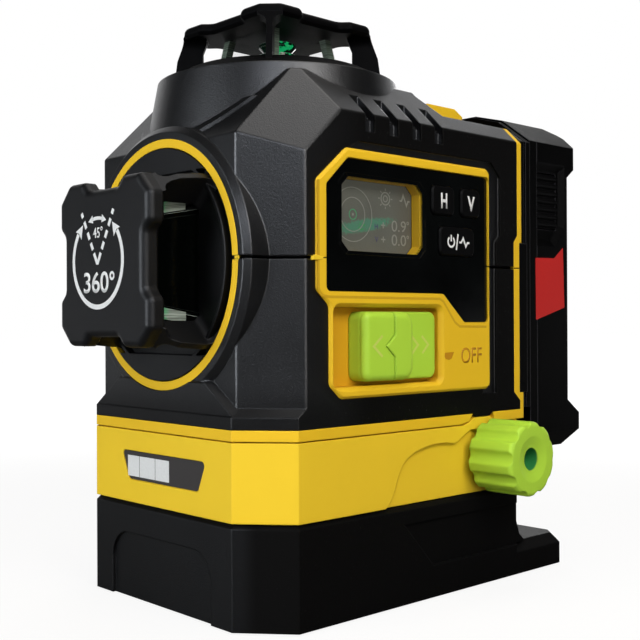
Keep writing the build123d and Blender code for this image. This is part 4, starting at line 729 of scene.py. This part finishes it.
def slider_face():
    """Thumb pad ahead of the lock slider's rib, cut round the rib's arrow."""
    front = -8.75
    low = 52.85
    high = 68.55
    root = 0.74
    tip = -2.22
    middle = 60.7
    half_arrow = 2.6
    foot = 37.6
    corner = 1.98
    round_rim = 1.5
    steps = 6
    near = 0.01
    outline = [(front, low), (root, low), (root, middle - half_arrow), (tip, middle),
               (root, middle + half_arrow), (root, high), (front, high)]
    bm = bmesh.new()
    underside = bm.faces.new([bm.verts.new((foot, y, z)) for y, z in outline])
    raised = bmesh.ops.extrude_face_region(bm, geom=[underside], use_keep_orig=True)
    for item in raised["geom"]:
        if isinstance(item, bmesh.types.BMVert):
            item.co.x = PAD_FACE
    bmesh.ops.recalc_face_normals(bm, faces=bm.faces)
    posts = [edge for edge in bm.edges if all(vert.co.y < front + near for vert in edge.verts)
             and edge.verts[0].co.z == edge.verts[1].co.z]
    round_off(bm, posts, "EDGES", corner, steps)
    rim = []
    for edge in bm.edges:
        spots = [vert.co for vert in edge.verts]
        on_top = all(spot.x > PAD_FACE - near for spot in spots)
        on_arrow = all(spot.y > tip - near and low + near < spot.z < high - near for spot in spots)
        at_root = all(spot.y > root - near for spot in spots)
        if on_top and not on_arrow and not at_root:
            rim.append(edge)
    round_off(bm, rim, "EDGES", round_rim, steps)
    bmesh.ops.recalc_face_normals(bm, faces=bm.faces)
    add_piece("slider_face", bm, "lock_slider", SLIDER_LIME)


def solid(name, corners, body, finish):
    """Six-sided block from four corners at one end and four at the other, in millimetres."""
    bm = bmesh.new()
    verts = [bm.verts.new(corner) for corner in corners]
    near = verts[:4]
    far = verts[4:]
    bm.faces.new(near)
    bm.faces.new(far)
    for at in range(4):
        bm.faces.new((near[at - 1], near[at], far[at], far[at - 1]))
    bmesh.ops.recalc_face_normals(bm, faces=bm.faces)
    add_piece(name, bm, body, finish)


def pane_edges():
    """Sawn ends of the upper and lower pane beside the front window's side panes."""
    foot = (-37.4, 11.6)
    head = (-47.2, 9.75)
    middle = EMIT_Z + 0.4
    inward = -0.9
    outward = 0.35
    overlap = 0.2
    height = 2.3
    outline = ((foot, -overlap), (foot, height), (head, height), (head, -overlap))
    for side, side_name in ((1, "right"), (-1, "left")):
        for up, up_name in ((1, "upper"), (-1, "lower")):
            corners = []
            for thick in (inward, outward):
                for (y, half), reach in outline:
                    corners.append((side * (half + thick), y, middle + up * (half + reach)))
            solid(f"{up_name}_pane_edge_{side_name}", corners, "turntable", GROUND_GLASS)


def pane_corners():
    """Bonded corners of the top window's four panes."""
    foot = (124.6, 11.7)
    head = (137.9, 9.55)
    leg = 2.0
    for turn, name in ((0, "front_right"), (90, "back_right"), (180, "back_left"), (270, "front_left")):
        spin = Matrix.Rotation(math.radians(turn), 3, "Z")
        corners = []
        for z, half in (foot, head):
            for along, across in ((0, 0), (leg, 0), (leg, leg), (0, leg)):
                corners.append(spin @ Vector((half - along, across - half, z)))
        solid(f"pane_corner_{name}", corners, "turntable", BONDED_GLASS)


def turned(name, profile, body, finish):
    """Ring or plug turned about the upright axis from radii and heights in millimetres."""
    bm = bmesh.new()
    verts = [bm.verts.new((radius, 0, z)) for radius, z in profile]
    edges = [bm.edges.new((verts[at - 1], verts[at])) for at in range(len(verts))]
    bmesh.ops.spin(bm, geom=verts + edges, cent=(0, 0, 0), axis=(0, 0, 1), angle=math.tau, steps=96,
                   use_merge=True)
    bmesh.ops.remove_doubles(bm, verts=bm.verts, dist=1e-4)
    bmesh.ops.recalc_face_normals(bm, faces=bm.faces)
    add_piece(name, bm, body, finish, crease=25)


def top_collar():
    """Upper cone of the collar round the top window."""
    profile = ((26.6, 126.95), (26.6, 127.0), (23.6, 128.55), (23.2, 128.5), (23.2, 127.6), (24.3, 126.95))
    turned("top_collar", profile, "turntable", TOP_GUARD_BLACK)


def prism_head():
    """Flat-topped upper cone of the top prism."""
    profile = ((0, 133.9), (2.6, 133.9), (4.7, 136.0), (4.7, 136.8), (4.4, 137.0), (0, 137.0))
    turned("prism_head", profile, "pendulum", TOP_PRISM)


def ring_tab():
    """Small yellow tab in the parting of the front ring."""
    marks = Marks()
    marks.sheet((27.8, 79.3), (29.25, 79.3), (29.25, 80.45), (27.8, 80.45))
    marks.lay("ring_tab", "front", RING_FACE, "turntable", YELLOW_PLASTIC, RING_TAB)


def band_label():
    """Slate plate in the band's recess with three blank pale cells."""
    marks = Marks()
    marks.sheet((-15.4, 35.65), (-12.45, 28.9), (15.05, 28.9), (18.0, 35.65), soft=1.0)
    marks.lay("band_label", "front", LABEL_FLOOR, "turntable", SLATE_FILM, PLATE, SOFT_RIM)
    marks = Marks()
    for low, high in ((-13.2, -8.35), (-8.15, -1.8), (-1.6, 3.9)):
        marks.sheet((low, 34.6), (low, 29.65), (high, 29.65), (high, 34.6))
    marks.lay("band_label_cells", "front", LABEL_FLOOR - PLATE, "turntable", PALE_FILM)


def pack_label():
    """Bare red film on the battery's right side."""
    marks = Marks()
    marks.sheet((59.75, 83.3), (59.85, 66.6), (73.2, 70.0), (72.6, 86.6), (68.4, 83.5), soft=0.3)
    marks.lay("pack_label", "right", PACK_FACE, "battery", RED_FILM)


guard_dial()
screen_readings()
lens_border()
key_signs()
lock_signs()
bezel_trim()
slider_face()
band_label()
pack_label()
pane_edges()
pane_corners()
top_collar()
prism_head()
ring_tab()


# Stage
def white_floor():
    """White floor that keeps a soft shadow."""
    bm = bmesh.new()
    bmesh.ops.create_grid(bm, x_segments=1, y_segments=1, size=4.0)
    mesh = bpy.data.meshes.new("floor")
    bm.to_mesh(mesh)
    bm.free()
    ground = bpy.data.objects.new("floor", mesh)
    bpy.context.scene.collection.objects.link(ground)
    paint = Paint("floor")
    x, y, _ = paint.axes()
    far = (x * x + y * y).rise(150.0 ** 2, 420.0 ** 2)
    behind = (y - x).rise(150.0, 500.0)
    grey = paint.blend(paint.noise(400.0), (0.12, 0.12, 0.12), (0.13, 0.13, 0.13))
    white = paint.blend(far, (0.88, 0.88, 0.88), (1.0, 1.0, 1.0))
    glow = paint.blend(paint.seen(behind), (0.0, 0.0, 0.0), white)
    paint.set(Base_Color=grey, Roughness=0.9, Specular_IOR_Level=0.0)
    paint.set(Emission_Color=glow, Emission_Strength=1.0)
    mesh.materials.append(paint.material)


def white_surround():
    """White surround for the camera and for gloss, which lights the object only a little."""
    ambient = 0.02
    world = bpy.data.worlds.new("surround")
    bpy.context.scene.world = world
    world.use_nodes = True
    paint = Paint("surround", world.node_tree)
    background = world.node_tree.nodes["Background"]
    x, y, _ = paint.axes()
    behind = (y - x).rise(700.0, 1100.0)
    paint.feed(background.inputs["Strength"], ambient + (1.0 - ambient) * paint.seen(behind))
    paint.feed(background.inputs["Color"], (1.0, 1.0, 1.0))


def lamp(name, place, aim_height, size, power, colour):
    """Soft square lamp that looks at a height on the upright axis."""
    light = bpy.data.lights.new(name, "AREA")
    light.shape = "SQUARE"
    light.size = size
    light.energy = power
    light.color = colour
    holder = bpy.data.objects.new(name, light)
    holder.location = place
    aim = Vector((0, 0, aim_height)) - Vector(place)
    holder.rotation_euler = aim.to_track_quat("-Z", "Y").to_euler()
    bpy.context.scene.collection.objects.link(holder)


def camera():
    """Camera at the photograph's place, turned by yaw, pitch and roll."""
    place = (0.20129, -0.17307, 0.06623)
    yaw = 0.82078
    pitch = 0.0021
    roll = -0.0042
    forward = Vector((-math.sin(yaw) * math.cos(pitch), math.cos(yaw) * math.cos(pitch), math.sin(pitch)))
    right = Vector((math.cos(yaw), math.sin(yaw), 0))
    up = right.cross(forward)
    side = math.cos(roll) * right + math.sin(roll) * up
    top = math.cos(roll) * up - math.sin(roll) * right
    turn = Matrix((side, top, -forward)).transposed().to_4x4()
    data = bpy.data.cameras.new("camera")
    data.lens = 58.43
    data.sensor_width = 36.0
    data.clip_start = 0.01
    view = bpy.data.objects.new("camera", data)
    view.matrix_world = Matrix.Translation(place) @ turn
    bpy.context.scene.collection.objects.link(view)
    bpy.context.scene.camera = view


white_floor()
white_surround()
WARM = (1.0, 0.94, 0.86)
lamp("front", (-0.12, -0.75, 0.14), aim_height=0.07, size=0.4, power=4.35, colour=(0.98, 1.0, 1.0))
lamp("camera side", (0.33, -0.29, 0.30), aim_height=0.07, size=0.2, power=0.68, colour=(0.95, 0.97, 1.0))
lamp("right", (0.41, -0.08, 0.31), aim_height=0.07, size=0.22, power=1.12, colour=WARM)
lamp("low right", (0.44, -0.12, 0.03), aim_height=0.07, size=0.2, power=0.4, colour=WARM)
lamp("top", (0.1, 0.1, 0.85), aim_height=0.1, size=0.6, power=2.2, colour=(1.0, 0.95, 0.88))
lamp("back", (-0.45, 0.55, 0.30), aim_height=0.07, size=0.4, power=2.0, colour=(1.0, 1.0, 1.0))
camera()
bpy.context.scene.view_settings.view_transform = "Standard"
